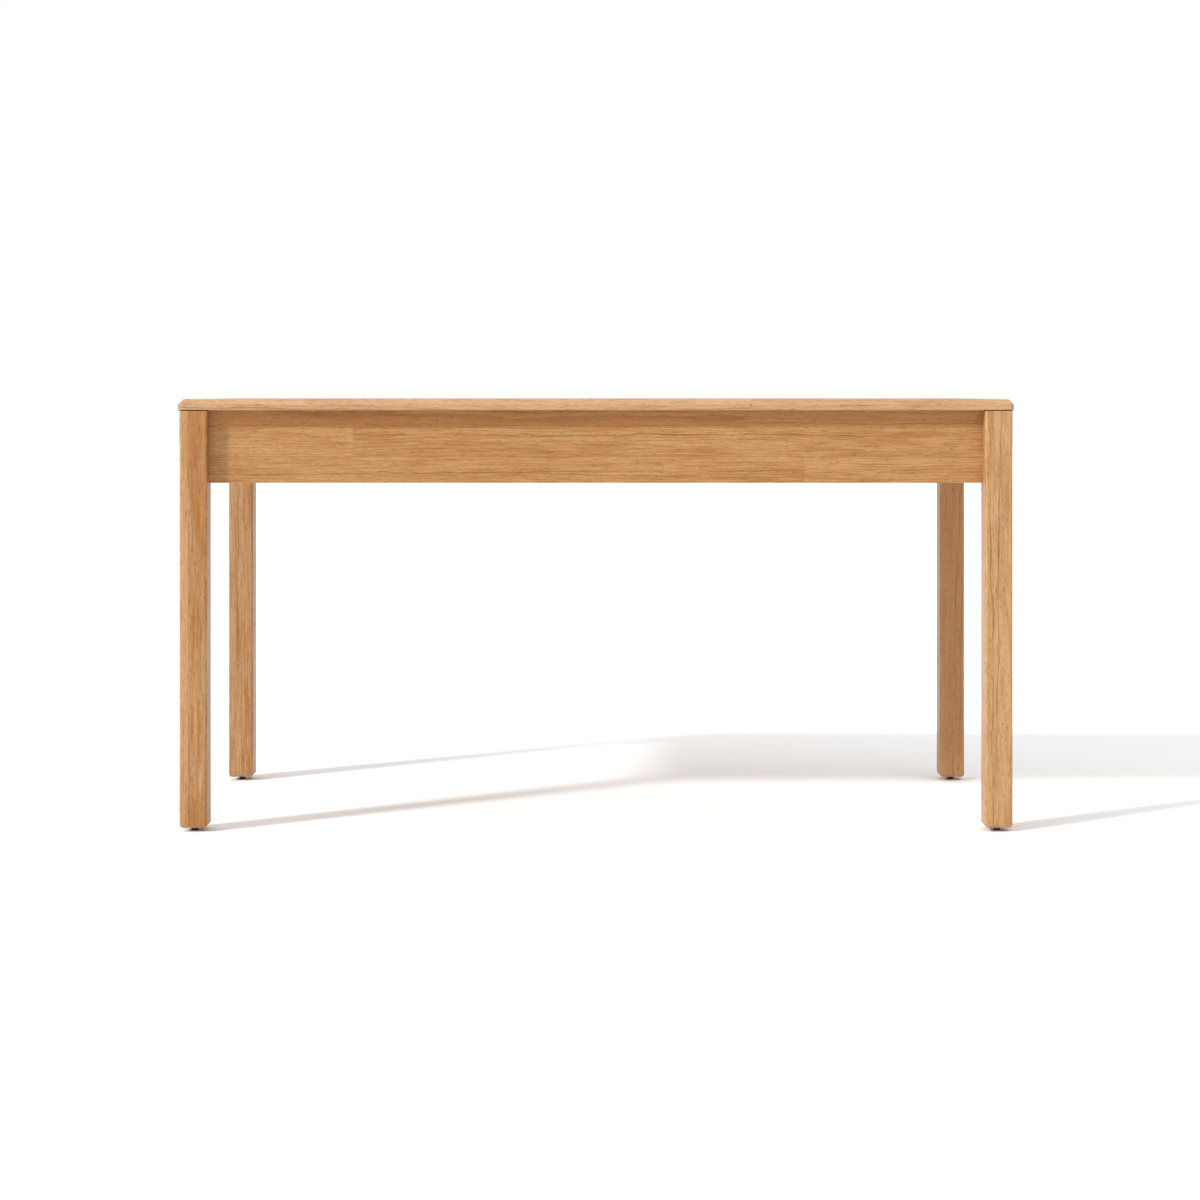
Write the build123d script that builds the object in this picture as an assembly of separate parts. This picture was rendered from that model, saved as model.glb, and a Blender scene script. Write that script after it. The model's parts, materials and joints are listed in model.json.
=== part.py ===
from build123d import *
import os
from math import sqrt

# A free-standing timber table: one solid panel on four square legs joined by a deep apron frame.
# It stands on the plane Z = 0 with its long side along X and its front towards -Y. The origin is
# the middle of its footprint on the floor. It comes apart at the corners: every leg is drawn up
# to its two aprons by a pair of hanger bolts through a mitred corner block, dowels line the
# apron ends up with the legs, and steel clips in a saw kerf hold the panel down. A swivelling
# levelling foot screws into the bottom of every leg.

# Overall size, millimetres
TABLE_LENGTH = 1450.0
TABLE_DEPTH = 596.0
TABLE_HEIGHT = 750.0

# Panel
TOP_THICKNESS = 20.0
TOP_END_OVERHANG = 3.0
TOP_FRONT_OVERHANG = 1.0
TOP_CORNER_RADIUS = 11.0
TOP_BEVEL = 9.0
TOP_BEVEL_EASING = 2.0
TOP_ARRIS = 1.2

# Narrow stopped rebate under the panel's front and back edges, which draws a dark line over the legs
SHADOW_GAP = 1.6
SHADOW_GAP_DEPTH = 12.0

# Legs
LEG_SIDE = 48.0
LEG_EDGE_RADIUS = 4.5
LEG_TOP_ARRIS = 1.5
LEG_FOOT_CHAMFER = 4.0
BOLT_FLAT = 8.0

# Aprons
APRON_HEIGHT = 126.0
APRON_THICKNESS = 18.0
APRON_SETBACK = 25.0
APRON_ARRIS = 1.2
KERF_DEPTH = 8.0
KERF_HEIGHT = 2.2
KERF_BELOW_TOP = 13.0

# Middle rail that carries the panel across the frame
RAIL_WIDTH = 25.0
RAIL_HEIGHT = 45.0
RAIL_ARRIS = 1.5
RAIL_SCREW_SPACING = 160.0
RAIL_SCREW_GRIP = 20.0
RAIL_DOWEL_DROPS = (22.0, 36.0)

# Dowels
DOWEL_RADIUS = 4.0
DOWEL_IN_APRON = 24.0
DOWEL_IN_LEG = 16.0
DOWEL_IN_LONG_APRON_FACE = 12.0
DOWEL_CHAMFER = 1.0
DOWEL_END_GAP = 0.5
LONG_APRON_DOWELS = (16.0, 94.0)
SIDE_APRON_DOWELS = (30.0, 104.0)

# Corner blocks and their hanger bolts
BLOCK_REACH = 80.0
BLOCK_THICKNESS = 28.0
BLOCK_HEIGHT = 80.0
BLOCK_RISE = 25.0
BLOCK_ARRIS = 1.0
BOLT_RADIUS = 3.0
BOLT_PITCH = 1.0
BOLT_IN_LEG = 40.0
BOLT_POINT = 5.0
BOLT_PLAIN = 3.0
BOLT_WOOD_PITCH = 2.5
BOLT_THREAD = 36.0
BOLT_LEAD_IN = 1.0
BOLT_SPACING = 32.0
BOLT_HOLE_RADIUS = 3.5
BOLT_PAST_NUT = 5.0
WASHER_RADIUS = 9.0
WASHER_THICKNESS = 1.6
NUT_ACROSS_FLATS = 10.0
NUT_THICKNESS = 5.0

# Screws
SCREW_RADIUS = 2.0
SCREW_HEAD_RADIUS = 4.0
SCREW_HEAD_HEIGHT = 2.6
SCREW_PITCH = 1.8
SCREW_PLAIN = 3.0
SCREW_TIP = 3.5
SCREW_END_GAP = 1.0
SCREW_RUN_OUT = 0.5
PAN_HEAD_PROFILE = ((0.6, 1.0), (0.9, 0.7), (1.0, 0.3))
RECESS_WIDTH = 0.9
RECESS_SPAN = 3.6
RECESS_DEPTH = 1.5
COUNTERBORE_RADIUS = 4.6
BLOCK_SCREW_REACH = 60.0
BLOCK_SCREW_GRIP = 9.0
BLOCK_SCREW_IN_APRON = 13.0
BLOCK_SCREW_SPACING = 56.0
TOP_SCREW_BITE = 14.0

# Panel clips
CLIP_THICKNESS = 1.5
CLIP_WIDTH = 20.0
CLIP_TONGUE = 7.0
CLIP_FLANGE = 22.0
CLIP_STAND_OFF = 0.4
CLIP_HOLE_RADIUS = 2.3
CLIP_SCREW_INSET = 13.0
LONG_CLIP_STATIONS = (-520.0, -200.0, 200.0, 520.0)
SIDE_CLIP_STATIONS = (-110.0, 110.0)

# Levelling feet
FOOT_HEIGHT = 7.0
PAD_RADIUS = 6.0
PAD_HEIGHT = 4.3
PAD_BEVEL = 0.9
DISC_RADIUS = 4.0
DISC_LOW = 1.6
DISC_HIGH = 2.8
NECK_RADIUS = 2.6
COLLAR_LOW = 4.5
COLLAR_HIGH = 6.5
COLLAR_ACROSS_FLATS = 8.0
STUD_RADIUS = 3.0
STUD_PITCH = 1.0
STUD_TOP = 30.0
STUD_LEAD_IN = 1.0
INSERT_RADIUS = 5.0
INSERT_LENGTH = 18.0
INSERT_FLANGE_RADIUS = 7.0
INSERT_FLANGE = 1.2
STUD_HOLE_RADIUS = 3.6
STUD_HOLE_DEPTH = 34.0

# Gap left between a fastener and its hole, and round what turns or slides
FIT = 0.05
SOCKET_FIT = 0.1
WASHER_FIT = 0.2

# How close two heights must be to count as one
TOUCHING = 0.001

# Depth of a thread as a share of its pitch, and how far a hexagon's corners are rounded off, as a
# share of what stands past its flats
THREAD_DEPTH = 0.35
HEXAGON_ROUNDING = 0.9

# Places worked out from the sizes above
UNDERSIDE = TABLE_HEIGHT - TOP_THICKNESS
LEG_OUT_X = TABLE_LENGTH / 2 - TOP_END_OVERHANG
LEG_OUT_Y = TABLE_DEPTH / 2 - TOP_FRONT_OVERHANG
LEG_IN_X = LEG_OUT_X - LEG_SIDE
LEG_IN_Y = LEG_OUT_Y - LEG_SIDE
LEG_MID_X = LEG_OUT_X - LEG_SIDE / 2
LEG_MID_Y = LEG_OUT_Y - LEG_SIDE / 2
APRON_LOW = UNDERSIDE - APRON_HEIGHT
APRON_OUT_X = LEG_OUT_X - APRON_SETBACK
APRON_OUT_Y = LEG_OUT_Y - APRON_SETBACK
APRON_IN_X = APRON_OUT_X - APRON_THICKNESS
APRON_IN_Y = APRON_OUT_Y - APRON_THICKNESS
APRON_MID_X = APRON_OUT_X - APRON_THICKNESS / 2
APRON_MID_Y = APRON_OUT_Y - APRON_THICKNESS / 2
KERF_Z = UNDERSIDE - KERF_BELOW_TOP
BLOCK_LOW = APRON_LOW + BLOCK_RISE
BLOCK_MID = BLOCK_LOW + BLOCK_HEIGHT / 2
BLOCK_INNER = BLOCK_REACH / sqrt(2)
BLOCK_OUTER = BLOCK_INNER - BLOCK_THICKNESS
LEG_FLAT = (APRON_IN_X - LEG_IN_X) * sqrt(2) - BOLT_FLAT / 2
BOLT_HEIGHTS = (BLOCK_MID - BOLT_SPACING / 2, BLOCK_MID + BOLT_SPACING / 2)
BLOCK_SCREW_HEIGHTS = (BLOCK_MID - BLOCK_SCREW_SPACING / 2, BLOCK_MID + BLOCK_SCREW_SPACING / 2)

FROM_BASE = (Align.CENTER, Align.CENTER, Align.MIN)

SIDES = ("front", "back", "left", "right")

# Every corner is drawn once, as the front left one, and mirrored to the other three.
CORNERS = {
    "front_left": (),
    "front_right": (Plane.YZ,),
    "back_left": (Plane.XZ,),
    "back_right": (Plane.YZ, Plane.XZ),
}


def block(low, high):
    """A box between two opposite corners."""
    size = [b - a for a, b in zip(low, high)]
    middle = [(a + b) / 2 for a, b in zip(low, high)]
    return Pos(*middle) * Box(*size)


def on_level(edge, height):
    """True where the whole edge lies at that height."""
    box = edge.bounding_box()
    return abs(box.min.Z - height) < TOUCHING and abs(box.max.Z - height) < TOUCHING


def along(start, direction, shape):
    """Stands a shape drawn up +Z at start, pointing along direction."""
    return Plane(origin=start, z_dir=direction) * shape


def rod(start, direction, radius, length):
    """A plain cylinder that begins at start."""
    return along(start, direction, Cylinder(radius, length, align=FROM_BASE))


def turned(points):
    """The solid that a closed outline of (radius, height) points sweeps round Z."""
    outline = Plane.XZ * make_face(Polyline(*points, close=True))
    return revolve(outline, Axis.Z)


def thread_ridges(radius, start, end, pitch):
    """Outline points of the thread ridges between two heights: root, crest, root, and so on."""
    root = radius - pitch * THREAD_DEPTH
    count = int((end - start) / pitch)
    points = [(root, start)]
    for turn in range(count):
        low = start + turn * pitch
        points += [(radius, low + pitch / 2), (root, low + pitch)]
    return points


def grouped(shapes):
    """Several separate solids as one node."""
    solids = [solid for shape in shapes for solid in shape.solids()]
    return Compound(children=solids)


def at_corner(shape, corner):
    """Mirrors a piece drawn at the front left corner to the named corner."""
    for plane in CORNERS[corner]:
        shape = mirror(shape, about=plane)
    return shape


def on_diagonal(distance, height):
    """The point that far in from the aprons' inside corner, along the front left diagonal."""
    step = distance / sqrt(2)
    return (-APRON_IN_X + step, -APRON_IN_Y + step, height)


INWARD = (1, 1, 0)
OUTWARD = (-1, -1, 0)


def wood_screw(length):
    """A pan head screw: its seat is at the origin, its point is up +Z and its head is below."""
    ridges = thread_ridges(SCREW_RADIUS, SCREW_PLAIN, length - SCREW_TIP, SCREW_PITCH)
    head = [(SCREW_HEAD_RADIUS * out, -SCREW_HEAD_HEIGHT * up) for out, up in PAN_HEAD_PROFILE]
    outline = [(0, -SCREW_HEAD_HEIGHT), *head, (SCREW_HEAD_RADIUS, 0), (SCREW_RADIUS, 0)]
    outline += [(SCREW_RADIUS, SCREW_PLAIN - SCREW_RUN_OUT), *ridges, (0, length)]
    screw = turned(outline)
    recess = Box(RECESS_SPAN, RECESS_WIDTH, RECESS_DEPTH, align=FROM_BASE)
    recess += Box(RECESS_WIDTH, RECESS_SPAN, RECESS_DEPTH, align=FROM_BASE)
    return screw - Pos(0, 0, -SCREW_HEAD_HEIGHT) * recess


def dowel(hole_length):
    """A plain dowel up +Z for holes of that length, short of both ends and chamfered there."""
    pin = Cylinder(DOWEL_RADIUS, hole_length - 2 * DOWEL_END_GAP, align=FROM_BASE)
    return Pos(0, 0, DOWEL_END_GAP) * chamfer(pin.edges().filter_by(GeomType.CIRCLE), DOWEL_CHAMFER)


def hexagon(across_flats, thickness):
    """A hexagon prism up +Z with its corners rounded off by a chamfered cylinder."""
    corner_radius = across_flats / sqrt(3)
    prism = extrude(RegularPolygon(corner_radius, 6), thickness)
    envelope = Cylinder(corner_radius, thickness, align=FROM_BASE)
    bevel = (corner_radius - across_flats / 2) * HEXAGON_ROUNDING
    return prism & chamfer(envelope.edges().filter_by(GeomType.CIRCLE), bevel)


# The two dowels of every apron end, as (start, direction) pairs whose start is the dowel's end
# inside the leg.
def long_apron_dowels():
    start_x = -LEG_IN_X - DOWEL_IN_LEG
    return [((start_x, -APRON_MID_Y, APRON_LOW + rise), (1, 0, 0)) for rise in LONG_APRON_DOWELS]


def side_apron_dowels():
    start_y = -LEG_IN_Y - DOWEL_IN_LEG
    return [((-APRON_MID_X, start_y, APRON_LOW + rise), (0, 1, 0)) for rise in SIDE_APRON_DOWELS]


def dowel_holes(places):
    """What the dowels of one corner take out of the leg and the aprons."""
    length = DOWEL_IN_LEG + DOWEL_IN_APRON
    return [rod(start, way, DOWEL_RADIUS + FIT, length) for start, way in places]


def block_screw_places():
    """Seat and direction of the four screws that hold the front left block to its two aprons."""
    reach, grip = BLOCK_SCREW_REACH, BLOCK_SCREW_GRIP
    places = []
    for height in BLOCK_SCREW_HEIGHTS:
        places.append(((-APRON_IN_X + reach, -APRON_IN_Y + grip, height), (0, -1, 0)))
        places.append(((-APRON_IN_X + grip, -APRON_IN_Y + reach, height), (-1, 0, 0)))
    return places


def foot_axis(height):
    """The point on the front left foot's axis at that height."""
    return (-LEG_MID_X, -LEG_MID_Y, height)


def tabletop():
    """The panel: a wide bevel above, a fine arris and two stopped rebates below, blind screw holes."""
    half_x, half_y = TABLE_LENGTH / 2, TABLE_DEPTH / 2
    panel = block((-half_x, -half_y, UNDERSIDE), (half_x, half_y, TABLE_HEIGHT))
    panel = fillet(panel.edges().filter_by(Axis.Z), TOP_CORNER_RADIUS)
    panel = chamfer(panel.faces().sort_by(Axis.Z)[-1].edges(), TOP_BEVEL)
    brow = TABLE_HEIGHT - TOP_BEVEL
    panel = fillet([edge for edge in panel.edges() if on_level(edge, brow)], TOP_BEVEL_EASING)
    panel = fillet([edge for edge in panel.edges() if on_level(edge, TABLE_HEIGHT)], TOP_BEVEL_EASING)
    panel = fillet(panel.faces().sort_by(Axis.Z)[0].edges(), TOP_ARRIS)
    rebate_top = UNDERSIDE + SHADOW_GAP
    rebate = block((-LEG_OUT_X, -half_y, UNDERSIDE), (LEG_OUT_X, -half_y + SHADOW_GAP_DEPTH, rebate_top))
    panel = panel - rebate - mirror(rebate, about=Plane.XZ)
    screws = [place for side in SIDES for place, _ in clip_places(side)]
    screws += [(0, station) for station in rail_screw_stations()]
    for place in screws:
        panel -= rod((*place, UNDERSIDE), (0, 0, 1), SCREW_RADIUS + FIT, TOP_SCREW_BITE)
    return panel


def leg():
    """The front left leg, with its dowel holes, bolt flat, bolt holes and foot hole."""
    post = block((-LEG_OUT_X, -LEG_OUT_Y, FOOT_HEIGHT), (-LEG_IN_X, -LEG_IN_Y, UNDERSIDE))
    post = fillet(post.edges().filter_by(Axis.Z), LEG_EDGE_RADIUS)
    post = fillet(post.faces().sort_by(Axis.Z)[-1].edges(), LEG_TOP_ARRIS)
    post = chamfer(post.faces().sort_by(Axis.Z)[0].edges(), LEG_FOOT_CHAMFER)
    flat = Box(LEG_SIDE, LEG_SIDE, APRON_HEIGHT * 2, align=(Align.CENTER, Align.MIN, Align.MIN))
    post -= Pos(*on_diagonal(LEG_FLAT, APRON_LOW)) * Rot(0, 0, -45) * flat
    for height in BOLT_HEIGHTS:
        post -= rod(on_diagonal(LEG_FLAT, height), OUTWARD, BOLT_RADIUS + FIT, BOLT_IN_LEG + FIT)
    for hole in dowel_holes(long_apron_dowels() + side_apron_dowels()):
        post -= hole
    post -= rod(foot_axis(FOOT_HEIGHT), (0, 0, 1), INSERT_RADIUS + FIT, INSERT_LENGTH)
    post -= rod(foot_axis(FOOT_HEIGHT), (0, 0, 1), INSERT_FLANGE_RADIUS + FIT, INSERT_FLANGE)
    post -= rod(foot_axis(FOOT_HEIGHT), (0, 0, 1), STUD_HOLE_RADIUS, STUD_HOLE_DEPTH)
    return post


def rail_screw_stations():
    return (-RAIL_SCREW_SPACING, 0.0, RAIL_SCREW_SPACING)


def rail_dowel_places():
    """Start and direction of the dowels that join the middle rail to the front apron."""
    start_y = -APRON_IN_Y - DOWEL_IN_LONG_APRON_FACE
    return [((0, start_y, UNDERSIDE - drop), (0, 1, 0)) for drop in RAIL_DOWEL_DROPS]


def front_apron():
    """The front apron, cut to length between the legs, with its kerf and all of its holes."""
    board = block((-LEG_IN_X, -APRON_OUT_Y, APRON_LOW), (LEG_IN_X, -APRON_IN_Y, UNDERSIDE))
    lower_edges = board.faces().sort_by(Axis.Z)[0].edges().filter_by(Axis.X)
    board = fillet(lower_edges, APRON_ARRIS)
    board -= block(
        (-LEG_IN_X, -APRON_IN_Y - KERF_DEPTH, KERF_Z - KERF_HEIGHT / 2),
        (LEG_IN_X, -APRON_IN_Y, KERF_Z + KERF_HEIGHT / 2),
    )
    cuts = dowel_holes(long_apron_dowels())
    cuts += [
        rod(seat, way, SCREW_RADIUS + FIT, BLOCK_SCREW_GRIP + BLOCK_SCREW_IN_APRON + FIT)
        for seat, way in block_screw_places()
        if way == (0, -1, 0)
    ]
    for cut in cuts:
        board = board - cut - mirror(cut, about=Plane.YZ)
    for start, way in rail_dowel_places():
        board -= rod(start, way, DOWEL_RADIUS + FIT, DOWEL_IN_APRON)
    return board


def left_apron():
    """The left apron, between the front and back legs."""
    board = block((-APRON_OUT_X, -LEG_IN_Y, APRON_LOW), (-APRON_IN_X, LEG_IN_Y, UNDERSIDE))
    lower_edges = board.faces().sort_by(Axis.Z)[0].edges().filter_by(Axis.Y)
    board = fillet(lower_edges, APRON_ARRIS)
    board -= block(
        (-APRON_IN_X - KERF_DEPTH, -LEG_IN_Y, KERF_Z - KERF_HEIGHT / 2),
        (-APRON_IN_X, LEG_IN_Y, KERF_Z + KERF_HEIGHT / 2),
    )
    cuts = dowel_holes(side_apron_dowels())
    cuts += [
        rod(seat, way, SCREW_RADIUS + FIT, BLOCK_SCREW_GRIP + BLOCK_SCREW_IN_APRON + FIT)
        for seat, way in block_screw_places()
        if way == (-1, 0, 0)
    ]
    for cut in cuts:
        board = board - cut - mirror(cut, about=Plane.XZ)
    return board


def cross_rail():
    """The rail under the middle of the panel, on edge, with counterbored screw holes."""
    low = (-RAIL_WIDTH / 2, -APRON_IN_Y, UNDERSIDE - RAIL_HEIGHT)
    rail = block(low, (RAIL_WIDTH / 2, APRON_IN_Y, UNDERSIDE))
    lower_edges = rail.faces().sort_by(Axis.Z)[0].edges().filter_by(Axis.Y)
    rail = fillet(lower_edges, RAIL_ARRIS)
    for station in rail_screw_stations():
        rail -= rod((0, station, low[2]), (0, 0, 1), SCREW_RADIUS + FIT, RAIL_HEIGHT)
        rail -= rod((0, station, low[2]), (0, 0, 1), COUNTERBORE_RADIUS, RAIL_HEIGHT - RAIL_SCREW_GRIP)
    for start, way in rail_dowel_places():
        cut = rod(start, way, DOWEL_RADIUS + FIT, DOWEL_IN_LONG_APRON_FACE + DOWEL_IN_APRON)
        rail = rail - cut - mirror(cut, about=Plane.XZ)
    return rail


def corner_block():
    """The front left corner block: mitred ends against both aprons, two bolt holes and four screws."""
    ends = [
        (-APRON_IN_X + BLOCK_REACH, -APRON_IN_Y),
        (-APRON_IN_X, -APRON_IN_Y + BLOCK_REACH),
        (-APRON_IN_X, -APRON_IN_Y + BLOCK_OUTER * sqrt(2)),
        (-APRON_IN_X + BLOCK_OUTER * sqrt(2), -APRON_IN_Y),
    ]
    outline = make_face(Polyline(*ends, close=True))
    body = Pos(0, 0, BLOCK_LOW) * extrude(outline, BLOCK_HEIGHT)
    long_edges = [
        edge
        for edge in body.edges().filter_by(Plane.XY)
        if edge.length > (BLOCK_REACH - BLOCK_OUTER) and abs((edge % 0.5).X * (edge % 0.5).Y) > 0.1
    ]
    body = chamfer(long_edges, BLOCK_ARRIS)
    for height in BOLT_HEIGHTS:
        body -= rod(on_diagonal(0, height), INWARD, BOLT_HOLE_RADIUS, BLOCK_REACH)
    for seat, way in block_screw_places():
        outwards = tuple(-part for part in way)
        body -= rod(seat, way, SCREW_RADIUS + FIT, BLOCK_SCREW_GRIP)
        body -= rod(seat, outwards, COUNTERBORE_RADIUS, BLOCK_REACH)
    return body


def hanger_bolt():
    """A bolt along +Z: coarse wood thread below the origin, machine thread above it."""
    reach = BLOCK_INNER - LEG_FLAT + WASHER_THICKNESS + NUT_THICKNESS + BOLT_PAST_NUT
    thread_start = reach - BOLT_THREAD
    wood = thread_ridges(BOLT_RADIUS, BOLT_POINT - BOLT_IN_LEG, -BOLT_PLAIN - BOLT_LEAD_IN, BOLT_WOOD_PITCH)
    machine = thread_ridges(BOLT_RADIUS, thread_start, reach - BOLT_LEAD_IN, BOLT_PITCH)
    outline = [(0, -BOLT_IN_LEG), *wood, (BOLT_RADIUS, -BOLT_PLAIN)]
    outline += [(BOLT_RADIUS, thread_start - BOLT_LEAD_IN), *machine]
    outline += [(BOLT_RADIUS - BOLT_LEAD_IN, reach), (0, reach)]
    return turned(outline)


def washer():
    ring = Cylinder(WASHER_RADIUS, WASHER_THICKNESS, align=FROM_BASE)
    return ring - Cylinder(BOLT_RADIUS + WASHER_FIT, WASHER_THICKNESS, align=FROM_BASE)


def nut():
    body = hexagon(NUT_ACROSS_FLATS, NUT_THICKNESS)
    return body - Cylinder(BOLT_RADIUS + FIT, NUT_THICKNESS, align=FROM_BASE)


def clip():
    """A stepped clip: its tongue lies along -X in the kerf and its flange along +X under the panel.

    X is measured from the apron's inner face and Z from the underside of the panel.
    """
    web = CLIP_STAND_OFF
    drop = -KERF_BELOW_TOP
    half = CLIP_THICKNESS / 2
    outline = [
        (-CLIP_TONGUE, drop - half),
        (web + CLIP_THICKNESS, drop - half),
        (web + CLIP_THICKNESS, -CLIP_THICKNESS),
        (web + CLIP_FLANGE, -CLIP_THICKNESS),
        (web + CLIP_FLANGE, 0),
        (web, 0),
        (web, drop + half),
        (-CLIP_TONGUE, drop + half),
    ]
    strip = extrude(Plane.XZ * make_face(Polyline(*outline, close=True)), CLIP_WIDTH / 2, both=True)
    return strip - rod((CLIP_SCREW_INSET, 0, -CLIP_THICKNESS), (0, 0, 1), CLIP_HOLE_RADIUS, CLIP_THICKNESS)


def clip_places(side):
    """For every clip on that side: its screw's place in plan, and the clip's turn about Z."""
    inset_x = APRON_IN_X - CLIP_SCREW_INSET
    inset_y = APRON_IN_Y - CLIP_SCREW_INSET
    if side == "front":
        return [((station, -inset_y), 90) for station in LONG_CLIP_STATIONS]
    if side == "back":
        return [((station, inset_y), -90) for station in LONG_CLIP_STATIONS]
    if side == "left":
        return [((-inset_x, station), 0) for station in SIDE_CLIP_STATIONS]
    return [((inset_x, station), 180) for station in SIDE_CLIP_STATIONS]


def clips(side):
    shapes = []
    for (x, y), turn in clip_places(side):
        back_to_face = Rot(0, 0, turn) * Pos(-CLIP_SCREW_INSET, 0, 0)
        shapes.append(Pos(x, y, UNDERSIDE) * back_to_face * clip())
    return grouped(shapes)


def clip_screws(side):
    length = CLIP_THICKNESS + TOP_SCREW_BITE - SCREW_END_GAP
    seat = UNDERSIDE - CLIP_THICKNESS
    return grouped([Pos(x, y, seat) * wood_screw(length) for (x, y), _ in clip_places(side)])


def rail_screws():
    length = RAIL_SCREW_GRIP + TOP_SCREW_BITE - SCREW_END_GAP
    seat = UNDERSIDE - RAIL_SCREW_GRIP
    return grouped([Pos(0, station, seat) * wood_screw(length) for station in rail_screw_stations()])


def rail_dowels():
    length = DOWEL_IN_LONG_APRON_FACE + DOWEL_IN_APRON
    front = [along(start, way, dowel(length)) for start, way in rail_dowel_places()]
    return grouped(front + [mirror(pin, about=Plane.XZ) for pin in front])


def apron_dowels():
    """The four dowels of the front left corner."""
    length = DOWEL_IN_LEG + DOWEL_IN_APRON
    places = long_apron_dowels() + side_apron_dowels()
    return grouped([along(start, way, dowel(length)) for start, way in places])


def block_screws():
    length = BLOCK_SCREW_GRIP + BLOCK_SCREW_IN_APRON
    return grouped([along(seat, way, wood_screw(length)) for seat, way in block_screw_places()])


def bolts():
    return grouped([along(on_diagonal(LEG_FLAT, height), INWARD, hanger_bolt()) for height in BOLT_HEIGHTS])


def washers():
    return grouped([along(on_diagonal(BLOCK_INNER, height), INWARD, washer()) for height in BOLT_HEIGHTS])


def nuts():
    seat = BLOCK_INNER + WASHER_THICKNESS
    return grouped([along(on_diagonal(seat, height), INWARD, nut()) for height in BOLT_HEIGHTS])


def foot_insert():
    """The flanged threaded sleeve in the bottom of the front left leg."""
    sleeve = rod(foot_axis(FOOT_HEIGHT), (0, 0, 1), INSERT_RADIUS, INSERT_LENGTH)
    sleeve += rod(foot_axis(FOOT_HEIGHT), (0, 0, 1), INSERT_FLANGE_RADIUS, INSERT_FLANGE)
    return sleeve - rod(foot_axis(FOOT_HEIGHT), (0, 0, 1), STUD_RADIUS + FIT, INSERT_LENGTH)


def foot_stud():
    """The stud: a disc held in the pad, a neck, a collar for a spanner, and the threaded shank."""
    ridges = thread_ridges(STUD_RADIUS, COLLAR_HIGH + STUD_LEAD_IN, STUD_TOP - STUD_LEAD_IN, STUD_PITCH)
    outline = [(0, DISC_LOW), (DISC_RADIUS, DISC_LOW), (DISC_RADIUS, DISC_HIGH)]
    outline += [(NECK_RADIUS, DISC_HIGH), (NECK_RADIUS, COLLAR_LOW), (NECK_RADIUS, COLLAR_HIGH)]
    outline += [*ridges, (NECK_RADIUS - STUD_LEAD_IN, STUD_TOP), (0, STUD_TOP)]
    collar = Pos(0, 0, COLLAR_LOW) * hexagon(COLLAR_ACROSS_FLATS, COLLAR_HIGH - COLLAR_LOW)
    return Pos(*foot_axis(0)) * (turned(outline) + collar)


def foot_pad():
    """The pad that stands on the floor, with the socket that its stud turns in."""
    socket_low, socket_high = DISC_LOW - SOCKET_FIT, DISC_HIGH + SOCKET_FIT
    outline = [
        (0, 0),
        (PAD_RADIUS - PAD_BEVEL, 0),
        (PAD_RADIUS, PAD_BEVEL),
        (PAD_RADIUS, PAD_HEIGHT - PAD_BEVEL / 2),
        (PAD_RADIUS - PAD_BEVEL / 2, PAD_HEIGHT),
        (NECK_RADIUS + FIT, PAD_HEIGHT),
        (NECK_RADIUS + FIT, socket_high),
        (DISC_RADIUS + FIT, socket_high),
        (DISC_RADIUS + FIT, socket_low),
        (0, socket_low),
    ]
    return Pos(*foot_axis(0)) * turned(outline)


def write(name, shape):
    export_step(shape, os.path.join("parts", name + ".step"))


def main():
    os.makedirs("parts", exist_ok=True)
    write("tabletop", tabletop())
    write("cross_rail", cross_rail())
    write("cross_rail_dowels", rail_dowels())
    write("cross_rail_screws", rail_screws())

    front, left = front_apron(), left_apron()
    write("apron_front", front)
    write("apron_back", mirror(front, about=Plane.XZ))
    write("apron_left", left)
    write("apron_right", mirror(left, about=Plane.YZ))

    for side in SIDES:
        write("top_clips_" + side, clips(side))
        write("top_clip_screws_" + side, clip_screws(side))

    corner_pieces = {
        "leg": leg(),
        "corner_block": corner_block(),
        "block_screws": block_screws(),
        "hanger_bolts": bolts(),
        "hanger_washers": washers(),
        "hanger_nuts": nuts(),
        "apron_dowels": apron_dowels(),
        "foot_insert": foot_insert(),
        "foot_stud": foot_stud(),
        "foot_pad": foot_pad(),
    }
    for corner in CORNERS:
        for piece, shape in corner_pieces.items():
            write(piece + "_" + corner, at_corner(shape, corner))


main()
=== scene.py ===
"""The looks of a laminated timber table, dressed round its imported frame.

Every piece stands where the frame's own node stands, in metres, and rides on that node's body.
Boards are glued up from staves: each stave has its own place in the log, so growth rings, fibres
and pores run through it as a solid and meet its neighbours at a glue line.
"""

import json
import logging
import math
import random
from dataclasses import dataclass, field
from enum import Enum
from functools import cache
from typing import Any, Callable, Iterable, Optional, Union

import bmesh
import bpy
from mathutils import Matrix, Vector


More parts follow.
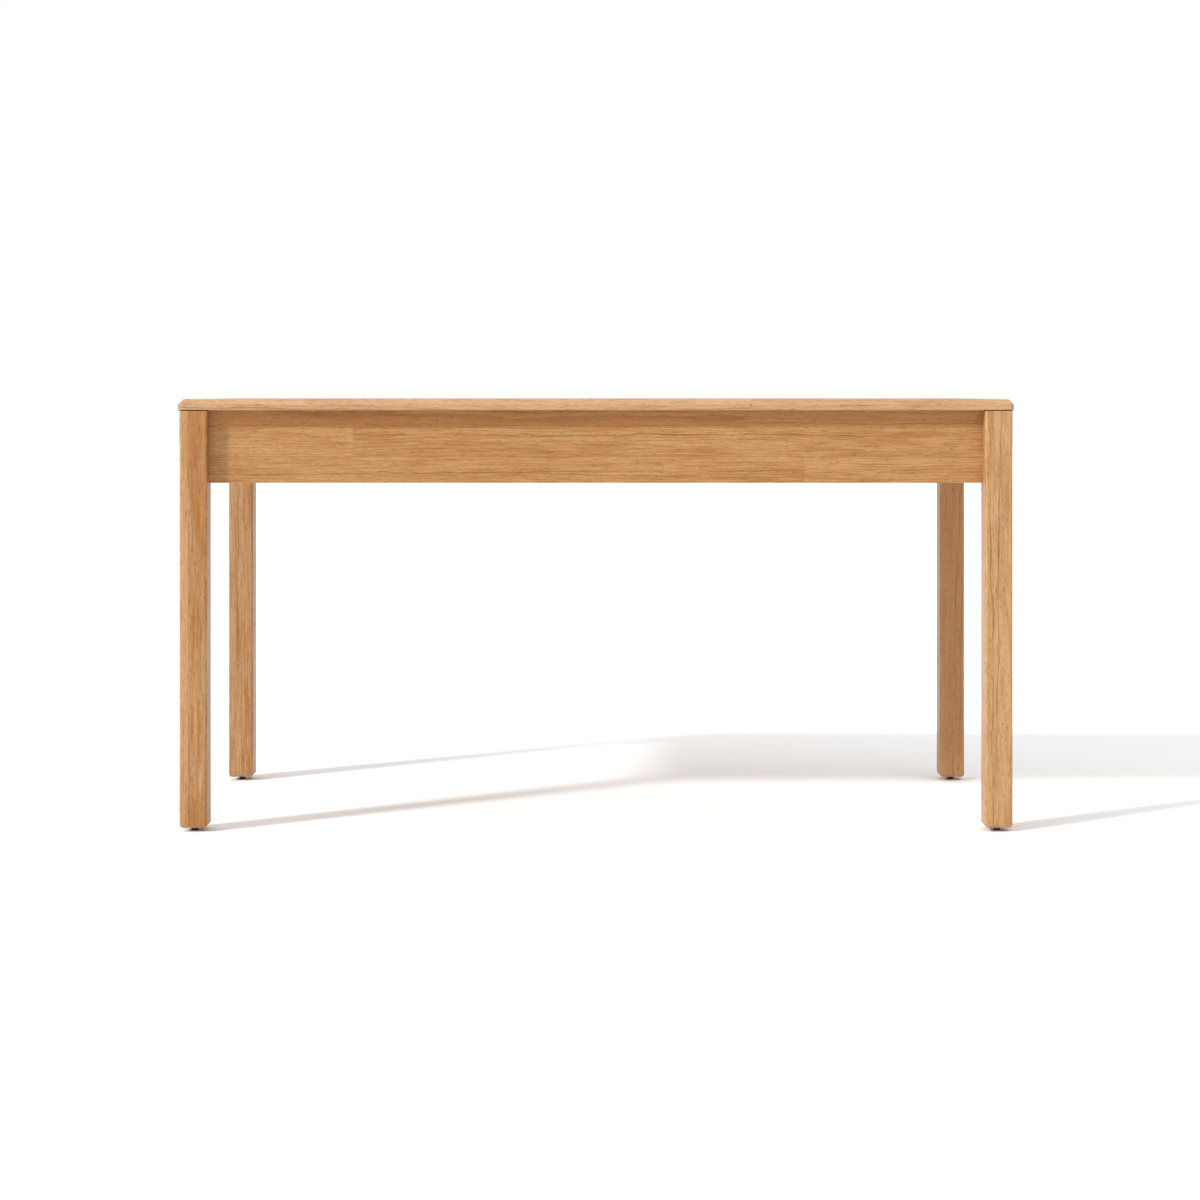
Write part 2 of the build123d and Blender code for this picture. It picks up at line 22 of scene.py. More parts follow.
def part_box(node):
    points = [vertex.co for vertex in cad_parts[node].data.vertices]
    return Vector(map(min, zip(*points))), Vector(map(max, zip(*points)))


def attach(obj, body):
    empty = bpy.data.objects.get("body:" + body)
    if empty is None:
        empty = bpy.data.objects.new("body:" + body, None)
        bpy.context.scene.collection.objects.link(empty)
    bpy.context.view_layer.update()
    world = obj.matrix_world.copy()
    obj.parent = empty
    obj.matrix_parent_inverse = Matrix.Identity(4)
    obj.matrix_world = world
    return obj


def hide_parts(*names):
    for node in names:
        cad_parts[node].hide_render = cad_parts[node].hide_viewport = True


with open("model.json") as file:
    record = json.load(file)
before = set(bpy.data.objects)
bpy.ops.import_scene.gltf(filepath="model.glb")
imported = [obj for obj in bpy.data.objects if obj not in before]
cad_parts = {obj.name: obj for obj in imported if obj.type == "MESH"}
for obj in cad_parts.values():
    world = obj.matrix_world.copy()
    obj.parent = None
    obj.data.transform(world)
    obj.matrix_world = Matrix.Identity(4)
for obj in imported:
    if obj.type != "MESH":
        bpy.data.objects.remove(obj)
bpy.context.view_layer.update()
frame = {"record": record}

LOG = logging.getLogger("table")

Colour = tuple[float, float, float]
Operand = Union["Signal", float]
Outline = list[tuple[float, float]]

X_AXIS = Vector((1, 0, 0))
Y_AXIS = Vector((0, 1, 0))
UP = Vector((0, 0, 1))
FULL_TURN = 2 * math.pi

# Points closer than this, in metres, are the same one; sizes closer than the second are equal.
SAME = 1e-6
NEAR = 1e-5
# An edge runs along an axis when this much of its direction does.
MOSTLY = 0.9


# ---------------------------------------------------------------- shader arithmetic


class Signal:
    """A value inside a material's nodes that takes Python's own operators."""

    def __init__(self, network: "Network", socket: bpy.types.NodeSocket) -> None:
        """Wraps one output socket.

        Args:
            network: The node network that the socket belongs to.
            socket: The output socket.
        """
        self.network = network
        self.socket = socket

    def __add__(self, other: Operand) -> "Signal":
        """Sum of two values."""
        return self.network.maths("ADD", self, other)

    def __radd__(self, other: Operand) -> "Signal":
        """Sum, with the number first."""
        return self.network.maths("ADD", other, self)

    def __sub__(self, other: Operand) -> "Signal":
        """Difference of two values."""
        return self.network.maths("SUBTRACT", self, other)

    def __rsub__(self, other: Operand) -> "Signal":
        """Difference, with the number first."""
        return self.network.maths("SUBTRACT", other, self)

    def __mul__(self, other: Operand) -> "Signal":
        """Product of two values."""
        return self.network.maths("MULTIPLY", self, other)

    def __rmul__(self, other: Operand) -> "Signal":
        """Product, with the number first."""
        return self.network.maths("MULTIPLY", other, self)

    def __truediv__(self, other: Operand) -> "Signal":
        """Quotient of two values."""
        return self.network.maths("DIVIDE", self, other)

    def __pow__(self, power: Operand) -> "Signal":
        """The value raised to a power."""
        return self.network.maths("POWER", self, power)

    def __abs__(self) -> "Signal":
        """The value without its sign."""
        return self.network.maths("ABSOLUTE", self)

    def step(self, start: float, end: float, low: float = 0.0, high: float = 1.0) -> "Signal":
        """A smooth step.

        Args:
            start: Where the step begins.
            end: Where the step ends.
            low: The result before the step.
            high: The result after it.

        Returns:
            The stepped value.
        """
        settings = {"interpolation_type": "SMOOTHSTEP", "clamp": True}
        values = {"Value": self, "From Min": start, "From Max": end, "To Min": low, "To Max": high}
        return self.network.signal("ShaderNodeMapRange", settings, values)


@dataclass(frozen=True)
class Texture:
    """A noise drawn out along the fibres: how fine it is along them and across them."""

    along: float
    across: float
    detail: float = 2.0
    rough: float = 0.5


class Network:
    """One material's nodes."""

    def __init__(self, name: str) -> None:
        """Makes an empty node material.

        Args:
            name: The material's name.
        """
        self.material = bpy.data.materials.new(name)
        self.material.use_nodes = True
        self.tree = self.material.node_tree
        self.tree.nodes.clear()

    def node(self, kind: str, settings: dict[str, Any], values: dict[Any, Any]) -> bpy.types.Node:
        """Adds a node.

        Args:
            kind: The node's type.
            settings: Its own properties, set first.
            values: What its input sockets hold, by name or number: a Signal or a plain value.

        Returns:
            The new node.
        """
        made = self.tree.nodes.new(kind)
        for key, value in settings.items():
            setattr(made, key, value)
        for key, value in values.items():
            if isinstance(value, Signal):
                self.tree.links.new(value.socket, made.inputs[key])
            else:
                made.inputs[key].default_value = value
        return made

    def signal(
        self, kind: str, settings: dict[str, Any], values: dict[Any, Any], output: Any = 0
    ) -> Signal:
        """Adds a node and takes one of its outputs.

        Args:
            kind: The node's type.
            settings: Its own properties.
            values: What its input sockets hold.
            output: The output's name or number.

        Returns:
            That output.
        """
        return Signal(self, self.node(kind, settings, values).outputs[output])

    def maths(self, operation: str, *operands: Operand) -> Signal:
        """One Math node.

        Args:
            operation: The node's operation.
            operands: Its inputs, in order.

        Returns:
            Its result.
        """
        return self.signal("ShaderNodeMath", {"operation": operation}, dict(enumerate(operands)))

    def smallest(self, *signals: Signal) -> Signal:
        """The smallest of several values.

        Args:
            signals: The values.

        Returns:
            The smallest.
        """
        least = signals[0]
        for other in signals[1:]:
            least = self.maths("MINIMUM", least, other)
        return least

    def place(self) -> Signal:
        """The point being shaded, in the piece's own frame."""
        return self.signal("ShaderNodeTexCoord", {}, {}, "Object")

    def attribute(self, name: str) -> tuple[Signal, Signal, Signal]:
        """The three numbers of a piece's own attribute."""
        settings = {"attribute_name": name, "attribute_type": "GEOMETRY"}
        return self.parts(self.signal("ShaderNodeAttribute", settings, {}, "Vector"))

    def parts(self, vector: Signal) -> tuple[Signal, Signal, Signal]:
        """A vector's three numbers."""
        split = self.node("ShaderNodeSeparateXYZ", {}, {0: vector})
        return tuple(Signal(self, socket) for socket in split.outputs)

    def vector(self, *numbers: Operand) -> Signal:
        """A vector from three numbers."""
        return self.signal("ShaderNodeCombineXYZ", {}, dict(enumerate(numbers)))

    def stretched(self, vector: Signal, amounts: tuple[float, float, float]) -> Signal:
        """A vector with each of its numbers multiplied."""
        return self.signal("ShaderNodeVectorMath", {"operation": "MULTIPLY"}, {0: vector, 1: amounts})

    def noise(
        self, vector: Signal, scale: float = 1.0, detail: float = 2.0, rough: float = 0.5
    ) -> Signal:
        """Soft noise between 0 and 1, about one half."""
        values = {"Vector": vector, "Scale": scale, "Detail": detail, "Roughness": rough}
        return self.signal("ShaderNodeTexNoise", {"noise_dimensions": "3D"}, values)

    def figure(self, log: Signal, texture: Texture) -> Signal:
        """Noise that follows the fibres of a log."""
        drawn = self.stretched(log, (texture.along, texture.across, texture.across))
        return self.noise(drawn, detail=texture.detail, rough=texture.rough)

    def chance(self, number: Signal) -> Signal:
        """A random value between 0 and 1 that belongs to a number."""
        return self.signal("ShaderNodeTexWhiteNoise", {"noise_dimensions": "1D"}, {"W": number})

    def colours(self, share: Operand, first: Any, second: Any, blend: str = "MIX") -> Signal:
        """Two colours mixed.

        Args:
            share: How much of the second one.
            first: A colour or a colour Signal.
            second: A colour or a colour Signal.
            blend: How the second one is laid over the first.

        Returns:
            The mixed colour.
        """
        settings = {"data_type": "RGBA", "blend_type": blend, "clamp_factor": True}
        values = {0: share, 6: self.paint(first), 7: self.paint(second)}
        return self.signal("ShaderNodeMix", settings, values, 2)

    @staticmethod
    def paint(colour: Any) -> Any:
        """A colour as a socket takes it, with its fourth number."""
        return colour if isinstance(colour, Signal) else (*colour, 1.0)

    def surface(
        self, constants: dict[str, Any], height: Optional[Signal], depth: float, **varying: Signal
    ) -> None:
        """Closes the network with a Principled shader.

        Args:
            constants: Sockets that are the same all over.
            height: The relief that bends the light, or None.
            depth: How deep the relief is, in metres.
            varying: Sockets that change over the surface, with _ for a space in the name.
        """
        values = dict(constants)
        values.update({name.replace("_", " "): signal for name, signal in varying.items()})
        if height is not None:
            relief = {"Strength": 1.0, "Distance": depth, "Height": height}
            values["Normal"] = self.signal("ShaderNodeBump", {}, relief)
        shader = self.signal("ShaderNodeBsdfPrincipled", {}, values)
        self.node("ShaderNodeOutputMaterial", {}, {"Surface": shader})


# ---------------------------------------------------------------- finishes


class Grain(Enum):
    """The axis that a board's fibres run along: the frame's axes as along, across, through."""

    X = (0, 1, 2)
    X_UPRIGHT = (0, 2, 1)
    Y_UPRIGHT = (1, 2, 0)
    Y = (1, 0, 2)
    Z = (2, 0, 1)

    def local(self, point: Vector) -> Vector:
        """A frame point as (along, across, through)."""
        return Vector([point[axis] for axis in self.value])

    def axis(self, number: int) -> Vector:
        """The frame's direction of along (0), across (1) or through (2)."""
        return (X_AXIS, Y_AXIS, UP)[self.value[number]].copy()


# How far a stave's seed moves its place in the log: along, across and through the fibres.
LOG_STEPS = (7.31, 3.17, 5.53)
# What a year and a seed are multiplied by, so that rings and veins draw different luck.
RING_SEED, VEIN_SEED, VEIN_YEAR = 91.0, 57.0, 1.37

WEAVE = Texture(17.0, 30.0, detail=1.0)
SWAY = Texture(1.7, 9.0, detail=1.0)
BEND = Texture(3.1, 21.0)
RIPPLE = Texture(15.0, 55.0)
BREAK = Texture(9.0, 60.0)
MOTTLE = Texture(3.0, 24.0, detail=3.0)
PATCH = Texture(11.0, 75.0)
FIBRE = Texture(13.0, 310.0, detail=4.0, rough=0.62)
DASH = Texture(52.0, 640.0, rough=0.6)
HAIR = Texture(22.0, 1100.0)
PORE = Texture(95.0, 2300.0, detail=1.0)
FLECK = Texture(70.0, 620.0, detail=1.0)


@dataclass(frozen=True)
class TimberFinish:
    """Timber under a clear coat, figured in the round so that faces, edges and ends agree."""

    name: str
    pale: Colour = (0.500, 0.266, 0.099)
    honey: Colour = (0.332, 0.130, 0.024)
    blush: Colour = (0.375, 0.130, 0.024)
    # The heart colour is heartwood's, and also painted shade where a heart covers a whole stave.
    heart_and_shade: Colour = (0.285, 0.092, 0.016)
    vein: Colour = (0.155, 0.048, 0.010)
    pore: Colour = (0.085, 0.032, 0.012)
    worn: Colour = (0.620, 0.380, 0.190)
    ring_gap: float = 0.0046
    ring_drift: float = 1.6
    ring_contrast: float = 0.30
    vein_contrast: float = 0.50
    weave_across: float = 0.0060
    weave_through: float = 0.0040
    sway_reach: float = 0.034
    bend_reach: float = 0.018
    ripple_reach: float = 0.0042
    mottle_contrast: float = 0.8
    patch_contrast: float = 0.45
    fibre_contrast: float = 1.75
    hair_contrast: float = 0.45
    blush_share: float = 0.22
    dash_contrast: float = 0.50
    pore_contrast: float = 0.50
    fleck_contrast: float = 0.60
    end_contrast: float = 0.30
    wear_scale: float = 60.0
    wear_contrast: float = 0.35
    glue_half_width: float = 0.00025
    glue_contrast: float = 0.40
    roughness: float = 0.42
    handling_scale: float = 9.0
    coat: float = 0.10
    coat_roughness: float = 0.30
    index: float = 1.42
    relief: float = 0.00016

    def material(self, grain: Grain) -> bpy.types.Material:
        """Builds the finish for boards whose fibres run one way.

        Args:
            grain: Which way the fibres run.

        Returns:
            The material.
        """
        net = Network(f"{self.name}_{grain.name.lower()}")
        place = net.parts(net.place())
        along, across, through = (place[axis] for axis in grain.value)
        start, near, _ = net.attribute("stave_low")
        stop, far, _ = net.attribute("stave_high")
        pith_across, pith_through, lean = net.attribute("stave_pith")
        tone, seed, _ = net.attribute("stave_look")
        heart_and_shade_at, heart_and_shade_slope, heart_and_shade_strength = net.attribute("stave_heart")
        line_at, line_slope, line_strength = net.attribute("stave_line")
        arris, end_grain, _ = net.attribute("stave_face")

        spot = [way + seed * step for way, step in zip((along, across, through), LOG_STEPS)]
        weave = net.figure(net.vector(*spot), WEAVE) - 0.5
        log = net.vector(
            spot[0], spot[1] + weave * self.weave_across, spot[2] + weave * self.weave_through
        )
        sway, bend, ripple = (net.figure(log, texture) for texture in (SWAY, BEND, RIPPLE))
        off_across = across - pith_across - lean * along + (sway - 0.5) * self.sway_reach
        off_through = through - pith_through + (bend - 0.5) * self.bend_reach
        reach = net.maths("SQRT", off_across * off_across + off_through * off_through)
        reach = reach + (ripple - 0.5) * self.ripple_reach
        growth = reach / self.ring_gap + (bend - 0.5) * self.ring_drift
        year = net.maths("FLOOR", growth)
        season = net.maths("FRACT", growth)
        late = season.step(0.30, 0.88) * season.step(0.92, 1.0, 1.0, 0.0)
        ring = late * (0.20 + 0.80 * net.chance(year + seed * RING_SEED) ** 1.6)
        strong = net.chance(year * VEIN_YEAR + seed * VEIN_SEED).step(0.84, 0.90)
        vein = strong * season.step(0.66, 0.84) * season.step(0.88, 0.98, 1.0, 0.0)
        broken = net.figure(log, BREAK).step(0.38, 0.56)

        soft = (MOTTLE, PATCH, FIBRE, HAIR)
        mottle, patch, fibre, hair = (net.figure(log, texture) for texture in soft)
        dash = net.figure(log, DASH).step(0.56, 0.74)
        pores = net.figure(log, PORE).step(0.60, 0.70)
        fleck = net.figure(log, FLECK).step(0.70, 0.75)
        wave = (sway - 0.5) * 0.030 + (mottle - 0.5) * 0.016
        # Past the heart line the stave takes the heart colour; a line below the whole stave lays it all
        # over, as painted shade.
        past_heart_and_shade = across - heart_and_shade_at - heart_and_shade_slope * along + wave
        heart_and_shade_share = past_heart_and_shade.step(-0.0010, 0.0026) * heart_and_shade_strength
        wander = (bend - 0.5) * 0.014 + (ripple - 0.5) * 0.009
        off_line = abs(across - line_at - line_slope * along + wander)
        line = off_line.step(0.0003, 0.0014, 1.0, 0.0) * line_strength * (0.35 + 0.65 * broken)

        shade = tone + (mottle - 0.5) * self.mottle_contrast + (patch - 0.5) * self.patch_contrast
        shade = shade + (fibre - 0.5) * self.fibre_contrast + (hair - 0.5) * self.hair_contrast
        wear = arris * net.noise(net.place(), self.wear_scale, 3.0).step(0.35, 0.75)
        gap = net.smallest(abs(across - near), abs(far - across))
        butt = net.smallest(abs(along - start), abs(stop - along))
        thin = self.glue_half_width
        glue = gap.step(thin * 0.5, thin * 1.8, 1.0, 0.0) + butt.step(thin * 0.5, thin * 1.2, 0.5, 0.0)
        wood = net.colours(shade.step(0.0, 1.0), self.pale, self.honey)
        layers = (
            (patch.step(0.45, 0.75) * self.blush_share, self.blush),
            # heartwood colour, and painted shade on staves whose heart covers their whole width
            (heart_and_shade_share, self.heart_and_shade),
            (ring * self.ring_contrast, self.vein),
            (vein * broken * self.vein_contrast, self.vein),
            (line, self.vein),
            (dash * self.dash_contrast, self.vein),
            (pores * self.pore_contrast, self.pore),
            (fleck * self.fleck_contrast, self.pore),
            (end_grain * (self.end_contrast + (hair - 0.5) * 0.5), self.vein),
            (wear * self.wear_contrast, self.worn),
            (glue * self.glue_contrast, self.vein),
        )
        for share, colour in layers:
            wood = net.colours(share, wood, colour)

        handled = net.noise(net.place(), self.handling_scale, 3.0)
        gloss = self.roughness + (handled - 0.5) * 0.14 + pores * 0.22 + fleck * 0.15 - wear * 0.08
        gloss = gloss + end_grain * 0.16 + (fibre - 0.5) * 0.10
        dip = 1.0 - pores * 0.75 - fleck * 0.8 - dash * 0.25 - glue * 0.6 + (fibre - 0.5) * 0.30
        dip = dip + (hair - 0.5) * 0.12 - ring * 0.10
        constants = {
            "Coat Weight": self.coat, "Coat Roughness": self.coat_roughness, "IOR": self.index,
        }
        net.surface(constants, dip, self.relief, Base_Color=wood, Roughness=gloss)
        return net.material


@dataclass(frozen=True)
class PlatedSteel:
    """Zinc-plated steel: pale, softly clouded, a little duller where it has been handled."""

    name: str
    bright: Colour = (0.63, 0.64, 0.65)
    dull: Colour = (0.44, 0.43, 0.40)
    bare: Colour = (0.82, 0.83, 0.84)
    cloud_scale: float = 160.0
    spangle_scale: float = 1500.0
    scratches: tuple[float, float, float] = (2600.0, 240.0, 2600.0)
    roughness: float = 0.30
    relief: float = 0.00003

    def material(self) -> bpy.types.Material:
        """Builds the finish.

        Returns:
            The material.
        """
        net = Network(self.name)
        place = net.place()
        cloud = net.noise(place, self.cloud_scale, 4.0, 0.6)
        spangle = net.noise(place, self.spangle_scale, 2.0)
        scratch = net.noise(net.stretched(place, self.scratches), detail=2.0).step(0.60, 0.72)
        stain = cloud.step(0.42, 0.68)
        metal = net.colours(stain * 0.75, self.bright, self.dull)
        metal = net.colours(scratch * 0.25, metal, self.bare)
        gloss = self.roughness + stain * 0.16 + (spangle - 0.5) * 0.18 - scratch * 0.06
        height = spangle * 0.5 - scratch * 0.5
        net.surface({"Metallic": 1.0}, height, self.relief, Base_Color=metal, Roughness=gloss)
        return net.material


@dataclass(frozen=True)
class MouldedPlastic:
    """Black nylon with a fine moulded texture, scuffed where it has stood."""

    name: str
    body: Colour = (0.016, 0.016, 0.017)
    scuff: Colour = (0.085, 0.083, 0.080)
    pebble_scale: float = 2800.0
    scuff_scale: float = 300.0
    index: float = 1.5
    roughness: float = 0.48
    relief: float = 0.00005

    def material(self) -> bpy.types.Material:
        """Builds the finish.

        Returns:
            The material.
        """
        net = Network(self.name)
        place = net.place()
        pebble = net.noise(place, self.pebble_scale, 2.0)
        rubbed = net.noise(place, self.scuff_scale, 4.0, 0.65).step(0.52, 0.70)
        paint = net.colours(rubbed * 0.55, self.body, self.scuff)
        gloss = self.roughness + (pebble - 0.5) * 0.2 + rubbed * 0.14
        net.surface({"IOR": self.index}, pebble, self.relief, Base_Color=paint, Roughness=gloss)
        return net.material


@dataclass(frozen=True)
class StudioFloor:
    """The pale, matt floor that the table stands on."""

    name: str
    paint: Colour = (0.955, 0.955, 0.955)
    shade: Colour = (0.940, 0.939, 0.937)
    patch_scale: float = 1.6
    roughness: float = 0.85
    specular: float = 0.1

    def material(self) -> bpy.types.Material:
        """Builds the finish.

        Returns:
            The material.
        """
        net = Network(self.name)
        patch = net.noise(net.place(), self.patch_scale, 3.0)
        paint = net.colours(patch.step(0.35, 0.75) * 0.5, self.paint, self.shade)
        constants = {"Roughness": self.roughness, "Specular IOR Level": self.specular}
        net.surface(constants, None, 0.0, Base_Color=paint)
        return net.material


class Finishes:
    """Every finish on the table, each made once."""

    def __init__(self) -> None:
        """Names the finishes; a material is built the first time that it is asked for."""
        timbers = (
            TimberFinish("top_timber", pale=(0.520, 0.304, 0.150), honey=(0.365, 0.172, 0.060)),
            # apron_timber's heart colour is only used as painted shade: the panel's shadow on the front
            # apron's top row, made warmer and darker.
            TimberFinish("apron_timber", heart_and_shade=(0.430, 0.152, 0.020)),
            # leg_timber's heart colour is heartwood on the front left leg, and partly painted warm shade
            # over the whole back right leg.
            TimberFinish(
                "leg_timber", pale=(0.508, 0.292, 0.126), heart_and_shade=(0.360, 0.115, 0.015), ring_gap=0.0050
            ),
            TimberFinish("rail_timber", roughness=0.62, coat=0.0, relief=0.0003),
            TimberFinish(
                "block_hardwood", pale=(0.60, 0.42, 0.25), honey=(0.47, 0.29, 0.14),
                roughness=0.66, coat=0.0, relief=0.0003,
            ),
            TimberFinish(
                "dowel_beech", pale=(0.66, 0.48, 0.30), honey=(0.55, 0.36, 0.20),
                roughness=0.70, coat=0.0,
            ),
        )
        others = (
            PlatedSteel("zinc_fixings"),
            PlatedSteel("clip_steel", roughness=0.36),
            PlatedSteel("insert_zinc", bright=(0.50, 0.50, 0.49), roughness=0.44),
            PlatedSteel("stud_steel", roughness=0.26),
            MouldedPlastic("pad_plastic"),
        )
        self.timber = {finish.name: finish for finish in timbers}
        self.others: dict[str, Any] = {finish.name: finish for finish in others}

    @cache
    def of(self, slot: str, grain: Grain) -> bpy.types.Material:
        """The material of a slot.

        Args:
            slot: The record's slot.
            grain: Which way the fibres run, where it is timber.

        Returns:
            The material, built once for each slot and grain.
        """
        if slot in self.timber:
            return self.timber[slot].material(grain)
        return self.others[slot].material()


# ---------------------------------------------------------------- making pieces

BODIES = frame["record"]["behaviour"]["bodies"]
BODY_OF = {node: body for body, nodes in BODIES.items() for node in nodes}
SLOT_OF = {part["node"]: part["material_slot"] for part in frame["record"]["subparts"]}


# A thread's slope and half of its flat crest, as shares of its pitch.
THREAD_FLANK, THREAD_FLAT = 0.44, 0.06


def facing(start: Vector, direction: Vector, roll: float = 0.0) -> Matrix:
    """Where a shape drawn up +Z stands.

    Args:
        start: The point that its origin goes to.
        direction: What its +Z turns to.
        roll: Its turn about its own axis first, in radians.

    Returns:
        The placing matrix.
    """
    turn = UP.rotation_difference(direction).to_matrix().to_4x4()
    return Matrix.Translation(start) @ turn @ Matrix.Rotation(roll, 4, "Z")


class Workpiece:
    """A piece on the bench: one bmesh and the operations that shape it."""

    def __init__(self) -> None:
        """Starts with nothing on the bench."""
        self.mesh = bmesh.new()

    def block(self, low: Vector, high: Vector) -> None:
        """Adds a box between two opposite corners.

        Args:
            low: Its lowest corner.
            high: Its highest corner.
        """
        verts = bmesh.ops.create_cube(self.mesh, size=1.0)["verts"]
        bmesh.ops.scale(self.mesh, vec=high - low, verts=verts)
        bmesh.ops.translate(self.mesh, vec=(low + high) / 2, verts=verts)

    def outline(self, points: Iterable[Vector], closed: bool = True) -> list[bmesh.types.BMEdge]:
        """Adds a run of edges.

        Args:
            points: Its corners, in order.
            closed: Whether the last one joins the first.

        Returns:
            The edges.
        """
        verts = [self.mesh.verts.new(point) for point in points]
        pairs = list(zip(verts, verts[1:]))
        if closed:
            pairs.append((verts[-1], verts[0]))
        return [self.mesh.edges.new(pair) for pair in pairs]

    def prism(self, points: Iterable[Vector], reach: Vector) -> None:
        """Adds a flat outline extruded to a solid.

        Args:
            points: The outline's corners.
            reach: How far and which way it is extruded.
        """
        edges = self.outline(points)
        face = bmesh.ops.contextual_create(self.mesh, geom=edges)["faces"][0]
        grown = bmesh.ops.extrude_face_region(self.mesh, geom=[face], use_keep_orig=True)["geom"]
        verts = [item for item in grown if isinstance(item, bmesh.types.BMVert)]
        bmesh.ops.translate(self.mesh, vec=reach, verts=verts)
        bmesh.ops.recalc_face_normals(self.mesh, faces=self.mesh.faces)

    def lathe(self, outline: Outline, steps: int) -> None:
        """Adds a turned shape.

        Args:
            outline: Its (radius, height) points, from one end of the axis to the other.
            steps: How many facets go round it.
        """
        edges = self.outline([Vector((radius, 0, height)) for radius, height in outline], closed=False)
        verts = list({vert for edge in edges for vert in edge.verts})
        swept = {"cent": (0, 0, 0), "axis": UP, "angle": FULL_TURN, "steps": steps, "use_merge": True}
        bmesh.ops.spin(self.mesh, geom=edges + verts, dvec=(0, 0, 0), **swept)
        bmesh.ops.remove_doubles(self.mesh, verts=self.mesh.verts, dist=SAME)
        bmesh.ops.recalc_face_normals(self.mesh, faces=self.mesh.faces)

    def thread(
        self, crest: float, root: float, pitch: float, low: float, high: float, steps: int
    ) -> None:
        """Adds a right-hand thread's ridge round Z, as a closed helix that bites into the core.

        Args:
            crest: Radius over the ridge.
            root: Radius that its foot is sunk to.
            pitch: Rise of one turn.
            low: Height where it begins.
            high: Height where it ends.
            steps: Facets in one turn.
        """
        known = set(self.mesh.verts)
        flank, flat = pitch * THREAD_FLANK, pitch * THREAD_FLAT
        peak = low + flank
        corners = ((root, low), (crest, peak - flat), (crest, peak + flat), (root, low + 2 * flank))
        edges = self.outline([Vector((radius, 0, height)) for radius, height in corners])
        verts = list({vert for edge in edges for vert in edge.verts})
        turns = max(1.0, (high - low - pitch) / pitch)
        count = int(turns * steps)
        swept = {"cent": (0, 0, 0), "axis": UP, "angle": FULL_TURN * count / steps, "steps": count}
        bmesh.ops.spin(self.mesh, geom=edges + verts, dvec=(0, 0, pitch / steps), **swept)
        mine = [vert for vert in self.mesh.verts if vert not in known]
        around = {edge for vert in mine for edge in vert.link_edges}
        ends = [edge for edge in around if edge.is_boundary]
        bmesh.ops.holes_fill(self.mesh, edges=ends, sides=len(corners))
        faces = list({face for vert in mine for face in vert.link_faces})
        bmesh.ops.recalc_face_normals(self.mesh, faces=faces)

    def bevel(self, edges: list[bmesh.types.BMEdge], width: float, segments: int) -> None:
        """Rounds or chamfers edges.

        Args:
            edges: The edges.
            width: How far back from each edge the bevel starts.
            segments: 1 for a chamfer, more for a round.
        """
        settings = {"offset_type": "OFFSET", "profile": 0.5, "affect": "EDGES", "clamp_overlap": True}
        bmesh.ops.bevel(
            self.mesh, geom=edges, offset=width, segments=segments, material=-1, **settings
        )

    def edges_where(self, test: Callable[[Vector, Vector], bool]) -> list[bmesh.types.BMEdge]:
        """The edges that a test picks.

        Args:
            test: Takes an edge's middle and its direction without sign, and says yes or no.

        Returns:
            Those edges.
        """
        picked = []
        for edge in self.mesh.edges:
            run = (edge.verts[1].co - edge.verts[0].co).normalized()
            middle = (edge.verts[0].co + edge.verts[1].co) / 2
            if test(middle, Vector([abs(part) for part in run])):
                picked.append(edge)
        return picked

    def drilled(self, places: Iterable[Matrix], drill: bpy.types.Mesh) -> None:
        """Bores the same hole at several places.

        Args:
            places: Where the drill goes in.
            drill: The cutter, up +Z.
        """
        holes = Workpiece()
        holes.stamp(drill, places)
        self.carve(holes)

    def stamp(self, master: bpy.types.Mesh, places: Iterable[Matrix]) -> None:
        """Adds copies of a finished mesh.

        Args:
            master: The mesh.
            places: Where each copy goes.
        """
        for place in places:
            known = len(self.mesh.verts)
            self.mesh.from_mesh(master)
            self.mesh.verts.ensure_lookup_table()
            bmesh.ops.transform(self.mesh, matrix=place, verts=self.mesh.verts[known:])

    def carve(self, tool: "Workpiece") -> None:
        """Cuts a closed shape out of this one.

        Args:
            tool: The shape to take away; it is used up.
        """
        bodies = []
        for name, piece in (("carved", self), ("tool", tool)):
            mesh = bpy.data.meshes.new(name)
            piece.mesh.to_mesh(mesh)
            body = bpy.data.objects.new(name, mesh)
            bpy.context.scene.collection.objects.link(body)
            bodies.append(body)
        cut = bodies[0].modifiers.new("cut", "BOOLEAN")
        cut.operation = "DIFFERENCE"
        cut.solver = "EXACT"
        cut.use_self = True
        cut.object = bodies[1]
        view = bpy.context.evaluated_depsgraph_get()
        result = bpy.data.meshes.new_from_object(bodies[0].evaluated_get(view))
        self.mesh.free()
        tool.mesh.free()
        self.mesh = bmesh.new()
        self.mesh.from_mesh(result)
        bmesh.ops.remove_doubles(self.mesh, verts=self.mesh.verts, dist=SAME)
        for body in bodies:
            bpy.data.objects.remove(body)

    def shade(self, flat_area: float, crease: float = 32.0) -> None:
        """Sets which faces are shaded flat and which edges stay crisp.

        Args:
            flat_area: Faces at least this large, in square metres, stay flat.
            crease: Edges sharper than this many degrees stay crisp.
        """
        for face in self.mesh.faces:
            face.smooth = face.calc_area() < flat_area
        limit = math.radians(crease)
        for edge in self.mesh.edges:
            edge.smooth = len(edge.link_faces) == 2 and edge.calc_face_angle(0.0) < limit

    def to_mesh(self, name: str) -> bpy.types.Mesh:
        """Takes the mesh off the bench.

        Args:
            name: The mesh's name.

        Returns:
            The mesh.
        """
        made = bpy.data.meshes.new(name)
        self.mesh.to_mesh(made)
        self.mesh.free()
        return made

